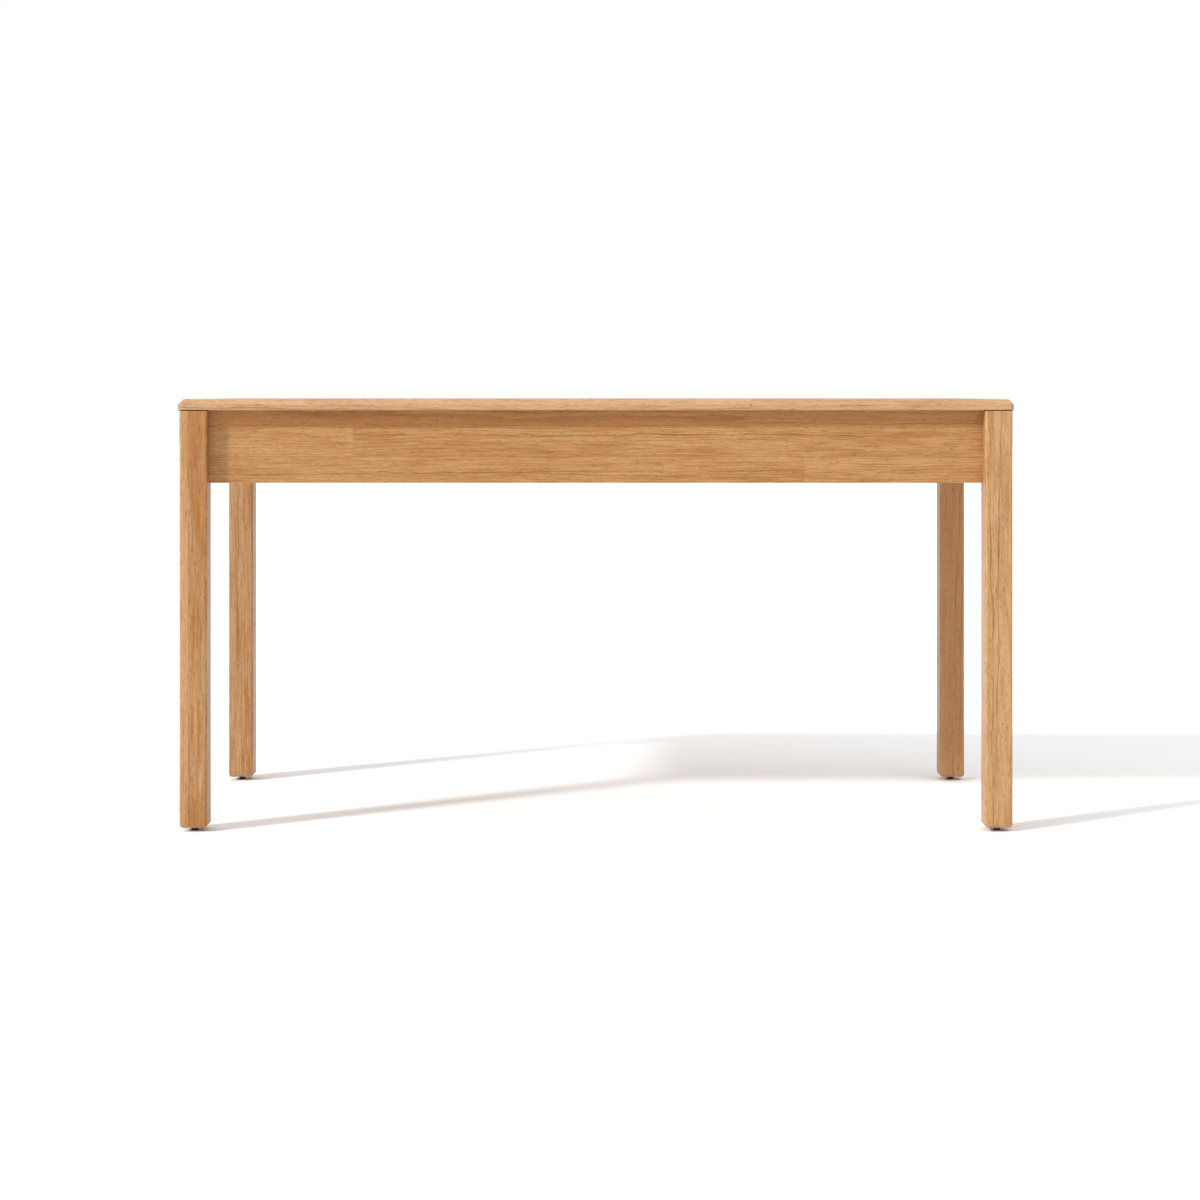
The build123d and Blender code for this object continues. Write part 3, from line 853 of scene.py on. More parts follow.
    def publish(self, name: str, node: str, finishes: Finishes, grain: Grain = Grain.X) -> None:
        """Makes the piece that stands for a node of the frame.

        Args:
            name: The piece's name.
            node: The node that it stands for.
            finishes: The table's finishes.
            grain: Which way its fibres run, where it is timber.
        """
        piece = bpy.data.objects.new(name, self.to_mesh(name))
        bpy.context.scene.collection.objects.link(piece)
        piece.data.materials.clear()
        piece.data.materials.append(finishes.of(SLOT_OF[node], grain))
        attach(piece, BODY_OF[node])
        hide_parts(node)
        LOG.info("%s: %d faces, rides on %s", name, len(piece.data.polygons), BODY_OF[node])


# ---------------------------------------------------------------- glued-up boards


Figure = tuple[float, float, float]
Key = tuple[int, int]
NO_FIGURE: Figure = (0.0, 0.0, 0.0)
# A cut this close to a corner, in metres, goes through it.
SCORE_SNAP = 1e-7
STAVE_LAYERS = (
    "stave_low", "stave_high", "stave_pith", "stave_look", "stave_heart", "stave_line", "stave_face",
)


@dataclass(frozen=True)
class Stave:
    """One length of timber in a glued-up board."""

    low: Vector
    high: Vector
    tone: float
    seed: float
    pith: Vector
    heart_and_shade: Figure
    line: Figure


@dataclass
class Lamination:
    """How a board is glued up: rows of staves across its width, butted end to end.

    A key is a stave's row and its order in the row. A heart or a line is its place across the
    board, its slope along it and its strength; a pith is its two places and its lean. A heart
    lays a darker, redder colour past its place: heartwood where it crosses a stave, and painted
    shade where it covers a whole stave.
    """

    grain: Grain
    seed: int
    row_edges: tuple[float, ...]
    joints: dict[int, tuple[float, ...]] = field(default_factory=dict)
    tones: dict[Key, float] = field(default_factory=dict)
    hearts_and_shade: dict[Key, Figure] = field(default_factory=dict)
    lines: dict[Key, Figure] = field(default_factory=dict)
    piths: dict[Key, Figure] = field(default_factory=dict)
    stave_length: float = 0.0
    first_length: tuple[float, float] = (0.25, 1.0)
    next_length: tuple[float, float] = (0.75, 1.25)
    shortest: float = 0.2
    tone_low: float = 0.25
    tone_high: float = 0.70
    pith_near: float = 0.035
    pith_far: float = 0.110
    lean: float = 0.018
    beyond: float = 1.0
    slanted: float = 0.985
    largest_arris: float = 0.004
    end_on: float = 0.75

    def lay(self, piece: Workpiece, low: Vector, high: Vector) -> None:
        """Scores the staves' joints into a board and marks every face with its stave.

        Args:
            piece: The board, already shaped.
            low: Its lowest corner.
            high: Its highest corner.
        """
        start, stop = self.grain.local(low), self.grain.local(high)
        luck = random.Random(self.seed)
        edges = [start.y - self.beyond, *self.row_edges, stop.y + self.beyond]
        for height in self.row_edges:
            self.score(piece, list(piece.mesh.faces), self.grain.axis(1), height)
        rows = []
        for number, (near, far) in enumerate(zip(edges, edges[1:])):
            cuts = self.joints.get(number, self.random_joints(luck, start.x, stop.x))
            ends = [start.x - self.beyond, *cuts, stop.x + self.beyond]
            for cut in cuts:
                self.score(piece, self.faces_between(piece, near, far), self.grain.axis(0), cut)
            limits = [(Vector((a, near, 0)), Vector((b, far, 0))) for a, b in zip(ends, ends[1:])]
            rows.append([
                self.stave(luck, (number, order), first, last, start, stop)
                for order, (first, last) in enumerate(limits)
            ])
        self.mark(piece, edges, rows)

    def random_joints(self, luck: random.Random, start: float, stop: float) -> tuple[float, ...]:
        """Where a row's staves are butted when nothing fixes it.

        Args:
            luck: The board's own random numbers.
            start: Where the board begins, along the grain.
            stop: Where it ends.

        Returns:
            The joints, in order.
        """
        if not self.stave_length:
            return ()
        joints = []
        place = start + luck.uniform(*self.first_length) * self.stave_length
        while place < stop - self.stave_length * self.shortest:
            joints.append(place)
            place += luck.uniform(*self.next_length) * self.stave_length
        return tuple(joints)

    def stave(
        self, luck: random.Random, key: Key, low: Vector, high: Vector, start: Vector, stop: Vector
    ) -> Stave:
        """Cuts one stave out of a log of its own.

        Args:
            luck: The board's own random numbers.
            key: The stave's row and its order in the row.
            low: Its lowest limits, along and across.
            high: Its highest limits.
            start: The board's lowest corner, as along, across and through.
            stop: The board's highest corner.

        Returns:
            The stave.
        """
        tone = luck.uniform(self.tone_low, self.tone_high)
        seed = luck.uniform(0.0, 1.0)
        near, far = max(low.y, start.y), min(high.y, stop.y)
        reach = luck.uniform(self.pith_near, self.pith_far)
        angle = luck.uniform(0.0, FULL_TURN)
        pith_across = (near + far) / 2 + reach * math.cos(angle)
        pith_through = (start.z + stop.z) / 2 + reach * math.sin(angle)
        lean = luck.uniform(-self.lean, self.lean)
        pith = Vector(self.piths.get(key, (pith_across, pith_through, lean)))
        heart_and_shade, line = self.hearts_and_shade.get(key, NO_FIGURE), self.lines.get(key, NO_FIGURE)
        return Stave(low, high, self.tones.get(key, tone), seed, pith, heart_and_shade, line)

    @staticmethod
    def score(piece: Workpiece, faces: list[bmesh.types.BMFace], normal: Vector, height: float) -> None:
        """Cuts a line of edges round faces where a plane crosses them.

        Args:
            piece: The board.
            faces: The faces that may be cut.
            normal: The plane's normal, one of the frame's axes.
            height: How far along that normal the plane is.
        """
        edges = {edge for face in faces for edge in face.edges}
        verts = {vert for face in faces for vert in face.verts}
        cut = {"dist": SCORE_SNAP, "plane_co": normal * height, "plane_no": normal}
        bmesh.ops.bisect_plane(piece.mesh, geom=[*verts, *edges, *faces], **cut)

    def faces_between(self, piece: Workpiece, near: float, far: float) -> list[bmesh.types.BMFace]:
        """The faces of one row."""
        axis = self.grain.value[1]
        return [face for face in piece.mesh.faces if near < face.calc_center_median()[axis] < far]

    def mark(self, piece: Workpiece, edges: list[float], rows: list[list[Stave]]) -> None:
        """Writes each face's stave into the board's attributes.

        Args:
            piece: The board.
            edges: The limits of the rows.
            rows: The staves of each row.
        """
        layers = [piece.mesh.faces.layers.float_vector.new(name) for name in STAVE_LAYERS]
        fibres = self.grain.axis(0)
        for face in piece.mesh.faces:
            middle = self.grain.local(face.calc_center_median())
            row = next(n for n, far in enumerate(edges[1:]) if middle.y < far)
            stave = next(s for s in rows[row] if middle.x < s.high.x)
            slanted = max(abs(part) for part in face.normal) < self.slanted
            arris = slanted and face.calc_area() < self.largest_arris
            kind = (float(arris), float(abs(face.normal.dot(fibres)) > self.end_on), 0.0)
            look = (stave.tone, stave.seed, 0.0)
            marks = (stave.low, stave.high, stave.pith, look, stave.heart_and_shade, stave.line, kind)
            for layer, value in zip(layers, marks):
                face[layer] = value


def even_rows(low: float, high: float, width: float) -> tuple[float, ...]:
    """The joints between rows of about one width.

    Args:
        low: One edge of the board.
        high: The other edge.
        width: The width wanted.

    Returns:
        The heights of the joints.
    """
    count = max(1, round((high - low) / width))
    return tuple(low + (high - low) * number / count for number in range(1, count))


# ---------------------------------------------------------------- the panel and its frame


@dataclass
class Tabletop:
    """The panel: staves along its length, rounded corners and a wide bevel round its upper edge."""

    bevel: float = 0.0090
    corner_radius: float = 0.0110
    corner_steps: int = 12
    easing: float = 0.0020
    arris: float = 0.0012
    arc_steps: int = 5
    shadow_gap: float = 0.0016
    gap_depth: float = 0.0120
    gap_arris: float = 0.0007
    stave_width: float = 0.050
    stave_length: float = 0.46
    front_joints: tuple[float, ...] = (-0.43, -0.02, 0.27)
    front_tones: tuple[float, ...] = (0.22, 0.14, 0.10, 0.18)
    flat_area: float = 0.0006

    def build(self, finishes: Finishes) -> None:
        """Makes the panel.

        Args:
            finishes: The table's finishes.
        """
        low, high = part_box("tabletop")
        piece = Workpiece()
        loops = [
            self.outline(piece, low, high, inset, height)
            for inset, height in self.profile(low.z, high.z)
        ]
        for lower, upper in zip(loops, loops[1:]):
            bmesh.ops.bridge_loops(piece.mesh, edges=lower + upper)
        for loop in (loops[0], loops[-1]):
            bmesh.ops.contextual_create(piece.mesh, geom=loop)
        bmesh.ops.recalc_face_normals(piece.mesh, faces=piece.mesh.faces)
        self.rebate(piece, low, high)
        lamination = Lamination(
            Grain.X, seed=41, row_edges=even_rows(low.y, high.y, self.stave_width),
            joints={0: self.front_joints}, stave_length=self.stave_length,
            tones={(0, order): tone for order, tone in enumerate(self.front_tones)},
            tone_low=0.10, tone_high=0.45,
        )
        piece.shade(self.flat_area)
        lamination.lay(piece, low, high)
        piece.publish("tabletop_panel", "tabletop", finishes, Grain.X)

    def rebate(self, piece: Workpiece, low: Vector, high: Vector) -> None:
        """Mills the stopped rebates under the front and back edges: the dark line over the legs.

        Args:
            piece: The panel.
            low: Its lowest corner.
            high: Its highest corner.
        """
        left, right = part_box("leg_front_left")[0].x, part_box("leg_front_right")[1].x
        ceiling = low.z + self.shadow_gap
        cutter = Workpiece()
        for edge, inner in ((low.y, low.y + self.gap_depth), (high.y, high.y - self.gap_depth)):
            outside = edge + math.copysign(self.gap_depth, edge)
            cutter.block(
                Vector((left, min(outside, inner), low.z - self.gap_depth)),
                Vector((right, max(outside, inner), ceiling)),
            )
        piece.carve(cutter)
        brink = piece.edges_where(
            lambda middle, run: abs(middle.z - ceiling) < NEAR
            and run.x > MOSTLY
            and min(middle.y - low.y, high.y - middle.y) < self.arris
        )
        piece.bevel(brink, self.gap_arris, self.arc_steps)

    def profile(self, base: float, top: float) -> Outline:
        """The panel's edge, as (distance in from the outline, height) points going up.

        Args:
            base: Height of the underside.
            top: Height of the upper face.

        Returns:
            The points.
        """
        points = []
        for step in range(self.arc_steps + 1):
            angle = math.pi / 2 * step / self.arc_steps
            inset, rise = self.arris * (1 - math.sin(angle)), self.arris * (1 - math.cos(angle))
            points.append((inset, base + rise))
        points += self.eased((0.0, top - self.bevel), math.pi / 2, math.pi / 4)
        points += self.eased((self.bevel, top), math.pi / 4, 0.0)
        return points

    def eased(self, corner: tuple[float, float], before: float, after: float) -> Outline:
        """A corner of the edge rounded off.

        Args:
            corner: The corner, as (distance in, height).
            before: The edge's slope below it, in radians.
            after: The edge's slope above it.

        Returns:
            The points of the round.
        """
        back = self.easing * math.tan((before - after) / 2)
        start = Vector((corner[0] - back * math.cos(before), corner[1] - back * math.sin(before)))
        centre = start + self.easing * Vector((math.sin(before), -math.cos(before)))
        points = []
        for step in range(self.arc_steps + 1):
            slope = before + (after - before) * step / self.arc_steps
            inset, rise = self.easing * math.sin(slope), self.easing * math.cos(slope)
            points.append((centre.x - inset, centre.y + rise))
        return points

    def outline(
        self, piece: Workpiece, low: Vector, high: Vector, inset: float, height: float
    ) -> list[bmesh.types.BMEdge]:
        """Draws the panel's rounded outline, moved in by some distance, at one height.

        Args:
            piece: The bench that it is drawn on.
            low: The panel's lowest corner.
            high: Its highest corner.
            inset: How far in the outline is moved.
            height: Its height.

        Returns:
            The outline's edges.
        """
        radius = self.corner_radius - inset
        points = []
        corners = ((high.x, high.y), (low.x, high.y), (low.x, low.y), (high.x, low.y))
        for quarter, (x, y) in enumerate(corners):
            middle_x = x - math.copysign(self.corner_radius, x)
            middle_y = y - math.copysign(self.corner_radius, y)
            for step in range(self.corner_steps + 1):
                angle = FULL_TURN * (quarter / 4 + step / self.corner_steps / 4)
                out_x, out_y = radius * math.cos(angle), radius * math.sin(angle)
                points.append(Vector((middle_x + out_x, middle_y + out_y, height)))
        return piece.outline(points)


@dataclass
class ApronFrame:
    """The four deep boards under the panel, each with a saw kerf along its inner face."""

    arris: float = 0.0012
    arris_segments: int = 3
    kerf_depth: float = 0.008
    kerf_height: float = 0.0022
    kerf_below_top: float = 0.013
    kerf_end_wall: float = 0.004
    row_heights: tuple[float, float] = (0.046, 0.096)
    flat_area: float = 0.0004

    def build(self, finishes: Finishes) -> None:
        """Makes the four aprons.

        Args:
            finishes: The table's finishes.
        """
        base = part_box("apron_front")[0].z
        rows = tuple(base + height for height in self.row_heights)
        long_way, side_way = Grain.X_UPRIGHT, Grain.Y_UPRIGHT
        front = Lamination(
            long_way, 7, rows, joints={0: (0.363,), 1: (-0.423,), 2: (0.266,)},
            # The top row sits in the panel's shadow. Its heart entries lay the redder, darker heart
            # colour over the whole row as painted shade, and its tones are paler to balance it.
            tones={(0, 0): 0.46, (0, 1): 0.36, (1, 0): 0.24, (1, 1): 0.42, (2, 0): 0.24, (2, 1): 0.16},
            hearts_and_shade={(2, 0): (base, 0.0, 0.50), (2, 1): (base, 0.0, 0.45)},
            lines={
                (1, 1): (base + 0.0830, -0.0010, 0.65), (0, 0): (base + 0.0200, 0.0080, 0.40),
                (2, 1): (base + 0.1010, 0.0040, 0.45), (2, 0): (base + 0.0985, -0.0010, 0.45),
            },
        )
        self.board("apron_front", front, finishes)
        self.board("apron_back", Lamination(long_way, 19, rows, stave_length=0.62), finishes)
        self.board("apron_left", Lamination(side_way, 23, rows, stave_length=0.55), finishes)
        self.board("apron_right", Lamination(side_way, 31, rows, stave_length=0.55), finishes)

    def board(self, node: str, lamination: Lamination, finishes: Finishes) -> None:
        """Makes one apron.

        Args:
            node: The node that it stands for.
            lamination: How it is glued up.
            finishes: The table's finishes.
        """
        low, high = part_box(node)
        run, out = lamination.grain.axis(0), lamination.grain.axis(2)
        piece = Workpiece()
        piece.block(low, high)
        lower = piece.edges_where(
            lambda middle, way: middle.z < low.z + SAME and way.dot(run) > MOSTLY
        )
        piece.bevel(lower, self.arris, self.arris_segments)
        inner = high if (low + high).dot(out) < 0 else low
        inward = out if inner == high else -out
        kerf = Workpiece()
        z = high.z - self.kerf_below_top
        face = out * inner.dot(out)
        start = run * (low.dot(run) + self.kerf_end_wall)
        stop = run * (high.dot(run) - self.kerf_end_wall)
        corner_a = start + face - inward * self.kerf_depth + UP * (z - self.kerf_height / 2)
        corner_b = stop + face + inward * self.kerf_depth + UP * (z + self.kerf_height / 2)
        kerf.block(Vector(map(min, corner_a, corner_b)), Vector(map(max, corner_a, corner_b)))
        piece.carve(kerf)
        piece.shade(self.flat_area)
        lamination.lay(piece, low, high)
        piece.publish(f"{node}_board", node, finishes, lamination.grain)


@dataclass
class MiddleRail:
    """The rail under the middle of the panel, with its counterbores, screws and dowels."""

    arris: float = 0.0015
    arris_segments: int = 3
    flat_area: float = 0.0004
    counterbore: float = 0.0046
    screw_grip: float = 0.020
    screw_length: float = 0.033
    screw_spacing: float = 0.160
    screw_turns: tuple[float, ...] = (0.3, 1.1, 0.7)
    dowel_drops: tuple[float, ...] = (0.022, 0.036)
    dowel_length: float = 0.035
    dowel_in_apron: float = 0.0115

    def build(self, finishes: Finishes, fittings: "Fittings") -> None:
        """Makes the rail and what is in it.

        Args:
            finishes: The table's finishes.
            fittings: The small parts that are made once and used again.
        """
        low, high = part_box("cross_rail")
        piece = Workpiece()
        piece.block(low, high)
        lower = piece.edges_where(lambda middle, run: middle.z < low.z + SAME and run.y > MOSTLY)
        piece.bevel(lower, self.arris, self.arris_segments)
        depth = high.z - self.screw_grip - low.z + self.arris
        stations = [Vector((0, n * self.screw_spacing, low.z - self.arris)) for n in (-1, 0, 1)]
        places = [Matrix.Translation(station) for station in stations]
        piece.drilled(places, fittings.drill(self.counterbore, depth))
        piece.shade(self.flat_area)
        Lamination(Grain.Y, seed=61, row_edges=()).lay(piece, low, high)
        piece.publish("middle_rail", "cross_rail", finishes, Grain.Y)

        screws = Workpiece()
        seat = high.z - self.screw_grip
        seats = [
            facing(Vector((0, station.y, seat)), UP, turn)
            for turn, station in zip(self.screw_turns, stations)
        ]
        screws.stamp(fittings.screw(self.screw_length), seats)
        screws.publish("middle_rail_screws", "cross_rail_screws", finishes)

        dowels = Workpiece()
        starts = []
        for drop in self.dowel_drops:
            for side, edge in ((1, low.y), (-1, high.y)):
                start = Vector((0, edge - side * self.dowel_in_apron, high.z - drop))
                starts.append(facing(start, Y_AXIS * side))
        dowels.stamp(fittings.dowel(self.dowel_length), starts)
        dowels.publish("middle_rail_dowels", "cross_rail_dowels", finishes, Grain.Y)


# ---------------------------------------------------------------- small parts


# No face of a small part is this large, in square metres, so all of them are shaded round.
ALL_ROUND = 1.0
# Edges sharper than this many degrees stay crisp on a nut, a stud or a sleeve.
CRISP = 24.0
FINE_FACETS = 48


@dataclass(frozen=True)
class Fittings:
    """The small parts that are made once and set in many places."""

    screw_radius: float = 0.0020
    screw_head_radius: float = 0.0040
    screw_head_height: float = 0.0026
    screw_pitch: float = 0.0018
    screw_tip: float = 0.0050
    recess_span: float = 0.0036
    recess_width: float = 0.0009
    recess_depth: float = 0.0015
    dowel_radius: float = 0.0040
    dowel_chamfer: float = 0.0010
    dowel_flutes: int = 18
    flute_floor: float = 0.93
    bolt_radius: float = 0.0030
    washer_radius: float = 0.0090
    washer_thickness: float = 0.0016
    nut_across_flats: float = 0.0100
    nut_thickness: float = 0.0050
    facets: int = 32

    @cache
    def drill(self, radius: float, depth: float) -> bpy.types.Mesh:
        """A plain round cutter up +Z from the origin.

        Args:
            radius: Its radius.
            depth: How far it reaches.

        Returns:
            The mesh.
        """
        tool = Workpiece()
        tool.lathe([(0, 0), (radius, 0), (radius, depth), (0, depth)], self.facets)
        return tool.to_mesh("drill")

    @cache
    def screw(self, length: float) -> bpy.types.Mesh:
        """A pan head screw with a cross recess: its seat at the origin and its point up +Z.

        Args:
            length: From the seat to the point.

        Returns:
            The mesh.
        """
        reach, top, core = self.screw_head_radius, self.screw_head_height, self.screw_radius * 0.68
        turns = [math.radians(degrees) for degrees in range(15, 91, 15)]
        dome = [(reach * math.sin(turn), -top * (0.62 + 0.38 * math.cos(turn))) for turn in turns]
        rim = [(reach, -top * 0.30), (reach * 0.97, -top * 0.12), (reach * 0.92, 0)]
        shank = [(self.screw_radius, 0), (self.screw_radius, 0.0025), (core, 0.0031)]
        tip = self.screw_tip
        point = [(core, length - tip), (core * 0.55, length - tip * 0.4), (0, length)]
        body = Workpiece()
        body.lathe([(0, -top), *dome, *rim, *shank, *point], self.facets)
        half, slim = self.recess_span / 2, self.recess_width / 2
        lift = Vector((0, 0, -top - 0.0005))
        depth = Vector((0, 0, self.recess_depth + 0.0005))
        for corner in (Vector((half, slim, 0)), Vector((slim, half, 0))):
            slot = Workpiece()
            slot.block(lift - corner, lift + corner + depth)
            body.carve(slot)
        body.thread(self.screw_radius, core * 0.9, self.screw_pitch, 0.0034, length - tip * 0.5, 20)
        body.shade(flat_area=ALL_ROUND)
        return body.to_mesh("screw")

    @cache
    def dowel(self, length: float) -> bpy.types.Mesh:
        """A fluted dowel up +Z from the origin, chamfered at both ends.

        Args:
            length: Its length.

        Returns:
            The mesh.
        """
        full, chamfer = self.dowel_radius, self.dowel_chamfer
        slim = full - chamfer
        body = Workpiece()
        ends = [(slim, 0), (full, chamfer), (full, length - chamfer), (slim, length)]
        body.lathe([(0, 0), *ends, (0, length)], self.dowel_flutes * 2)
        for vert in body.mesh.verts:
            turn = math.atan2(vert.co.y, vert.co.x) / FULL_TURN * self.dowel_flutes * 2
            if round(turn) % 2 and vert.co.xy.length > slim + SAME:
                vert.co.xy *= self.flute_floor
        body.shade(flat_area=0.0)
        low, high = Vector((-slim, -slim, 0)), Vector((slim, slim, length))
        Lamination(Grain.Z, seed=71, row_edges=()).lay(body, low, high)
        return body.to_mesh("dowel")

    @cache
    def washer(self) -> bpy.types.Mesh:
        """A flat washer up +Z from its seat, with a rolled edge from the punch.

        Returns:
            The mesh.
        """
        out, hole, thick = self.washer_radius, self.bolt_radius + 0.0002, self.washer_thickness
        edge = thick * 0.25
        rim = [(out - edge, 0), (out, edge), (out, thick - edge), (out - edge, thick)]
        ring = Workpiece()
        ring.lathe([(hole, 0), *rim, (hole, thick), (hole, 0)], FINE_FACETS)
        ring.shade(flat_area=ALL_ROUND)
        return ring.to_mesh("washer")

    @cache
    def nut(self) -> bpy.types.Mesh:
        """A hexagon nut up +Z from its seat, its corners turned off and its bore chamfered.

        Returns:
            The mesh.
        """
        nut = hexagon_blank(self.nut_across_flats, self.nut_thickness)
        radius, thick, mouth, over = self.bolt_radius + 0.00005, self.nut_thickness, 0.0007, 0.001
        wide = radius + mouth + over
        walls = [(wide, -over), (radius, mouth), (radius, thick - mouth), (wide, thick + over)]
        bore = Workpiece()
        bore.lathe([(0, -over), *walls, (0, thick + over)], self.facets)
        nut.carve(bore)
        nut.shade(flat_area=ALL_ROUND, crease=CRISP)
        return nut.to_mesh("nut")

    @cache
    def hanger_bolt(self, in_leg: float, reach: float, thread: float) -> bpy.types.Mesh:
        """A hanger bolt: coarse wood thread below the origin and machine thread above it.

        Args:
            in_leg: How deep it goes into the leg.
            reach: How far it stands out.
            thread: Length of its machine thread.

        Returns:
            The mesh.
        """
        radius, wood_core, core = self.bolt_radius, self.bolt_radius * 0.70, self.bolt_radius - 0.00062
        foot = [
            (0, -in_leg), (wood_core * 0.4, -in_leg + 0.002), (wood_core, -in_leg + 0.006),
            (wood_core, -0.0045),
        ]
        start = reach - thread
        middle = [(radius, -0.003), (radius, reach - thread - 0.001), (core, start)]
        tip = [(core, reach - 0.0008), (core - 0.0006, reach), (0, reach)]
        body = Workpiece()
        body.lathe([*foot, *middle, *tip], self.facets)
        body.thread(radius, wood_core * 0.9, 0.0025, -in_leg + 0.004, -0.003, 24)
        body.thread(radius, core * 0.95, 0.0010, reach - thread - 0.0008, reach - 0.0004, 28)
        body.shade(flat_area=ALL_ROUND)
        return body.to_mesh("hanger_bolt")


def hexagon_blank(across_flats: float, thickness: float) -> Workpiece:
    """A hexagon prism up +Z whose corners are turned off at both faces.

    Args:
        across_flats: Its width over two flats.
        thickness: Its height.

    Returns:
        The blank, on the bench.
    """
    corner = across_flats / math.sqrt(3)
    bevel = (corner - across_flats / 2) * 0.9
    blank = Workpiece()
    turns = [number * FULL_TURN / 6 for number in range(6)]
    ring = [Vector((corner * math.cos(turn), corner * math.sin(turn), 0)) for turn in turns]
    blank.prism(ring, UP * thickness)
    slope, outer, shoulder = bevel * 0.6, corner * 1.6, corner - bevel
    rise = (outer - shoulder) / bevel * slope
    for height, normal in ((thickness, 1), (0.0, -1)):
        low, high = height + normal * 0.0001, height + normal * 0.004
        cutter = Workpiece()
        outline = [(shoulder, low), (outer, height - normal * rise), (outer, high), (shoulder, high)]
        cutter.lathe([*outline, outline[0]], FINE_FACETS)
        blank.carve(cutter)
    return blank


# ---------------------------------------------------------------- corners


@dataclass
class Corner:
    """One corner of the frame: its leg, corner block, bolts, screws, dowels and levelling foot."""

    name: str
    right: int
    back: int
    lamination: Lamination
    fittings: Fittings
    finishes: Finishes
    edge_radius: float = 0.0045
    edge_segments: int = 6
    top_arris: float = 0.0015
    top_segments: int = 3
    foot_chamfer: float = 0.0040
    socket_play: float = 0.00005
    socket_over: float = 0.0010
    socket_depth: float = 0.0022
    leg_flat_area: float = 0.0015
    bolt_flat: float = 0.0080
    bolt_in_leg: float = 0.0400
    bolt_thread: float = 0.0360
    bolt_past_nut: float = 0.0050
    nut_turns: tuple[float, float] = (0.2, 0.51)
    bolt_hole: float = 0.0035
    flat_half_width: float = 0.0300
    flat_reach: float = 0.3000
    block_reach: float = 0.0800
    block_thickness: float = 0.0280
    block_arris: float = 0.0010
    block_flat_area: float = 0.0003
    counterbore: float = 0.0046
    screw_reach: float = 0.0600
    screw_grip: float = 0.0090
    screw_length: float = 0.0220
    dowel_in_leg: float = 0.0160
    dowel_gap: float = 0.0005
    dowel_length: float = 0.0390
    long_dowels: tuple[float, ...] = (0.016, 0.094)
    side_dowels: tuple[float, ...] = (0.030, 0.104)

    def __post_init__(self) -> None:
        """Finds the corner in the frame."""
        side = "right" if self.right > 0 else "left"
        end = "back" if self.back > 0 else "front"
        self.long_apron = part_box(f"apron_{end}")
        self.side_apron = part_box(f"apron_{side}")
        self.leg_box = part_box(f"leg_{self.name}")
        near_x = self.side_apron[0].x if self.right > 0 else self.side_apron[1].x
        near_y = self.long_apron[0].y if self.back > 0 else self.long_apron[1].y
        self.inside = Vector((near_x, near_y, 0))
        self.inward = Vector((-self.right, -self.back, 0)).normalized()
        leg_x = self.leg_box[0].x if self.right > 0 else self.leg_box[1].x
        step = abs(leg_x - near_x)
        self.flat_at = step * math.sqrt(2) - self.bolt_flat / 2
        self.block_inner = self.block_reach / math.sqrt(2)
        block_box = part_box(f"corner_block_{self.name}")
        bolt_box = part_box(f"hanger_bolts_{self.name}")
        self.block_heights = (block_box[0].z, block_box[1].z)
        radius = self.fittings.bolt_radius
        self.bolt_heights = (bolt_box[0].z + radius, bolt_box[1].z - radius)
        screw_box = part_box(f"block_screws_{self.name}")
        head = self.fittings.screw_head_radius
        self.screw_heights = (screw_box[0].z + head, screw_box[1].z - head)

    def at(self, in_x: float, in_y: float, height: float) -> Vector:
        """A point given by how far it lies in from the aprons' inside corner, and its height."""
        return self.inside + Vector((-self.right * in_x, -self.back * in_y, height))

    def on_diagonal(self, distance: float, height: float) -> Vector:
        """The point that far in along the corner's diagonal."""
        return self.inside + self.inward * distance + UP * height

    def build(self) -> None:
        """Makes every piece of the corner."""
        for make in (self.leg, self.block, self.screws, self.bolts, self.dowels):
            make()

    def leg(self) -> None:
        """Makes the leg: round long edges, a chamfered foot and a flat for the bolts."""
        low, high = self.leg_box
        piece = Workpiece()
        piece.block(low, high)
        upright = piece.edges_where(lambda middle, run: run.z > MOSTLY)
        piece.bevel(upright, self.edge_radius, self.edge_segments)
        foot = piece.edges_where(lambda middle, run: middle.z < low.z + SAME and run.z < 0.1)
        piece.bevel(foot, self.foot_chamfer, 1)
        head = piece.edges_where(lambda middle, run: middle.z > high.z - SAME and run.z < 0.1)
        piece.bevel(head, self.top_arris, self.top_segments)
        side = Vector((-self.inward.y, self.inward.x, 0)) * self.flat_half_width
        start = self.on_diagonal(self.flat_at, self.long_apron[0].z)
        deep = self.inward * self.flat_half_width
        flat = Workpiece()
        flat.prism(
            [start - side, start + side, start + side + deep, start - side + deep], UP * self.flat_reach
        )
        piece.carve(flat)
        insert_low, insert_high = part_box(f"foot_insert_{self.name}")
        radius = (insert_high.x - insert_low.x) / 2 + self.socket_play
        middle = (insert_low + insert_high) / 2
        mouth = Matrix.Translation(Vector((middle.x, middle.y, low.z - self.socket_over)))
        piece.drilled([mouth], self.fittings.drill(radius, self.socket_depth))
        piece.shade(self.leg_flat_area)
        self.lamination.lay(piece, low, high)
        piece.publish(f"leg_post_{self.name}", f"leg_{self.name}", self.finishes, self.lamination.grain)

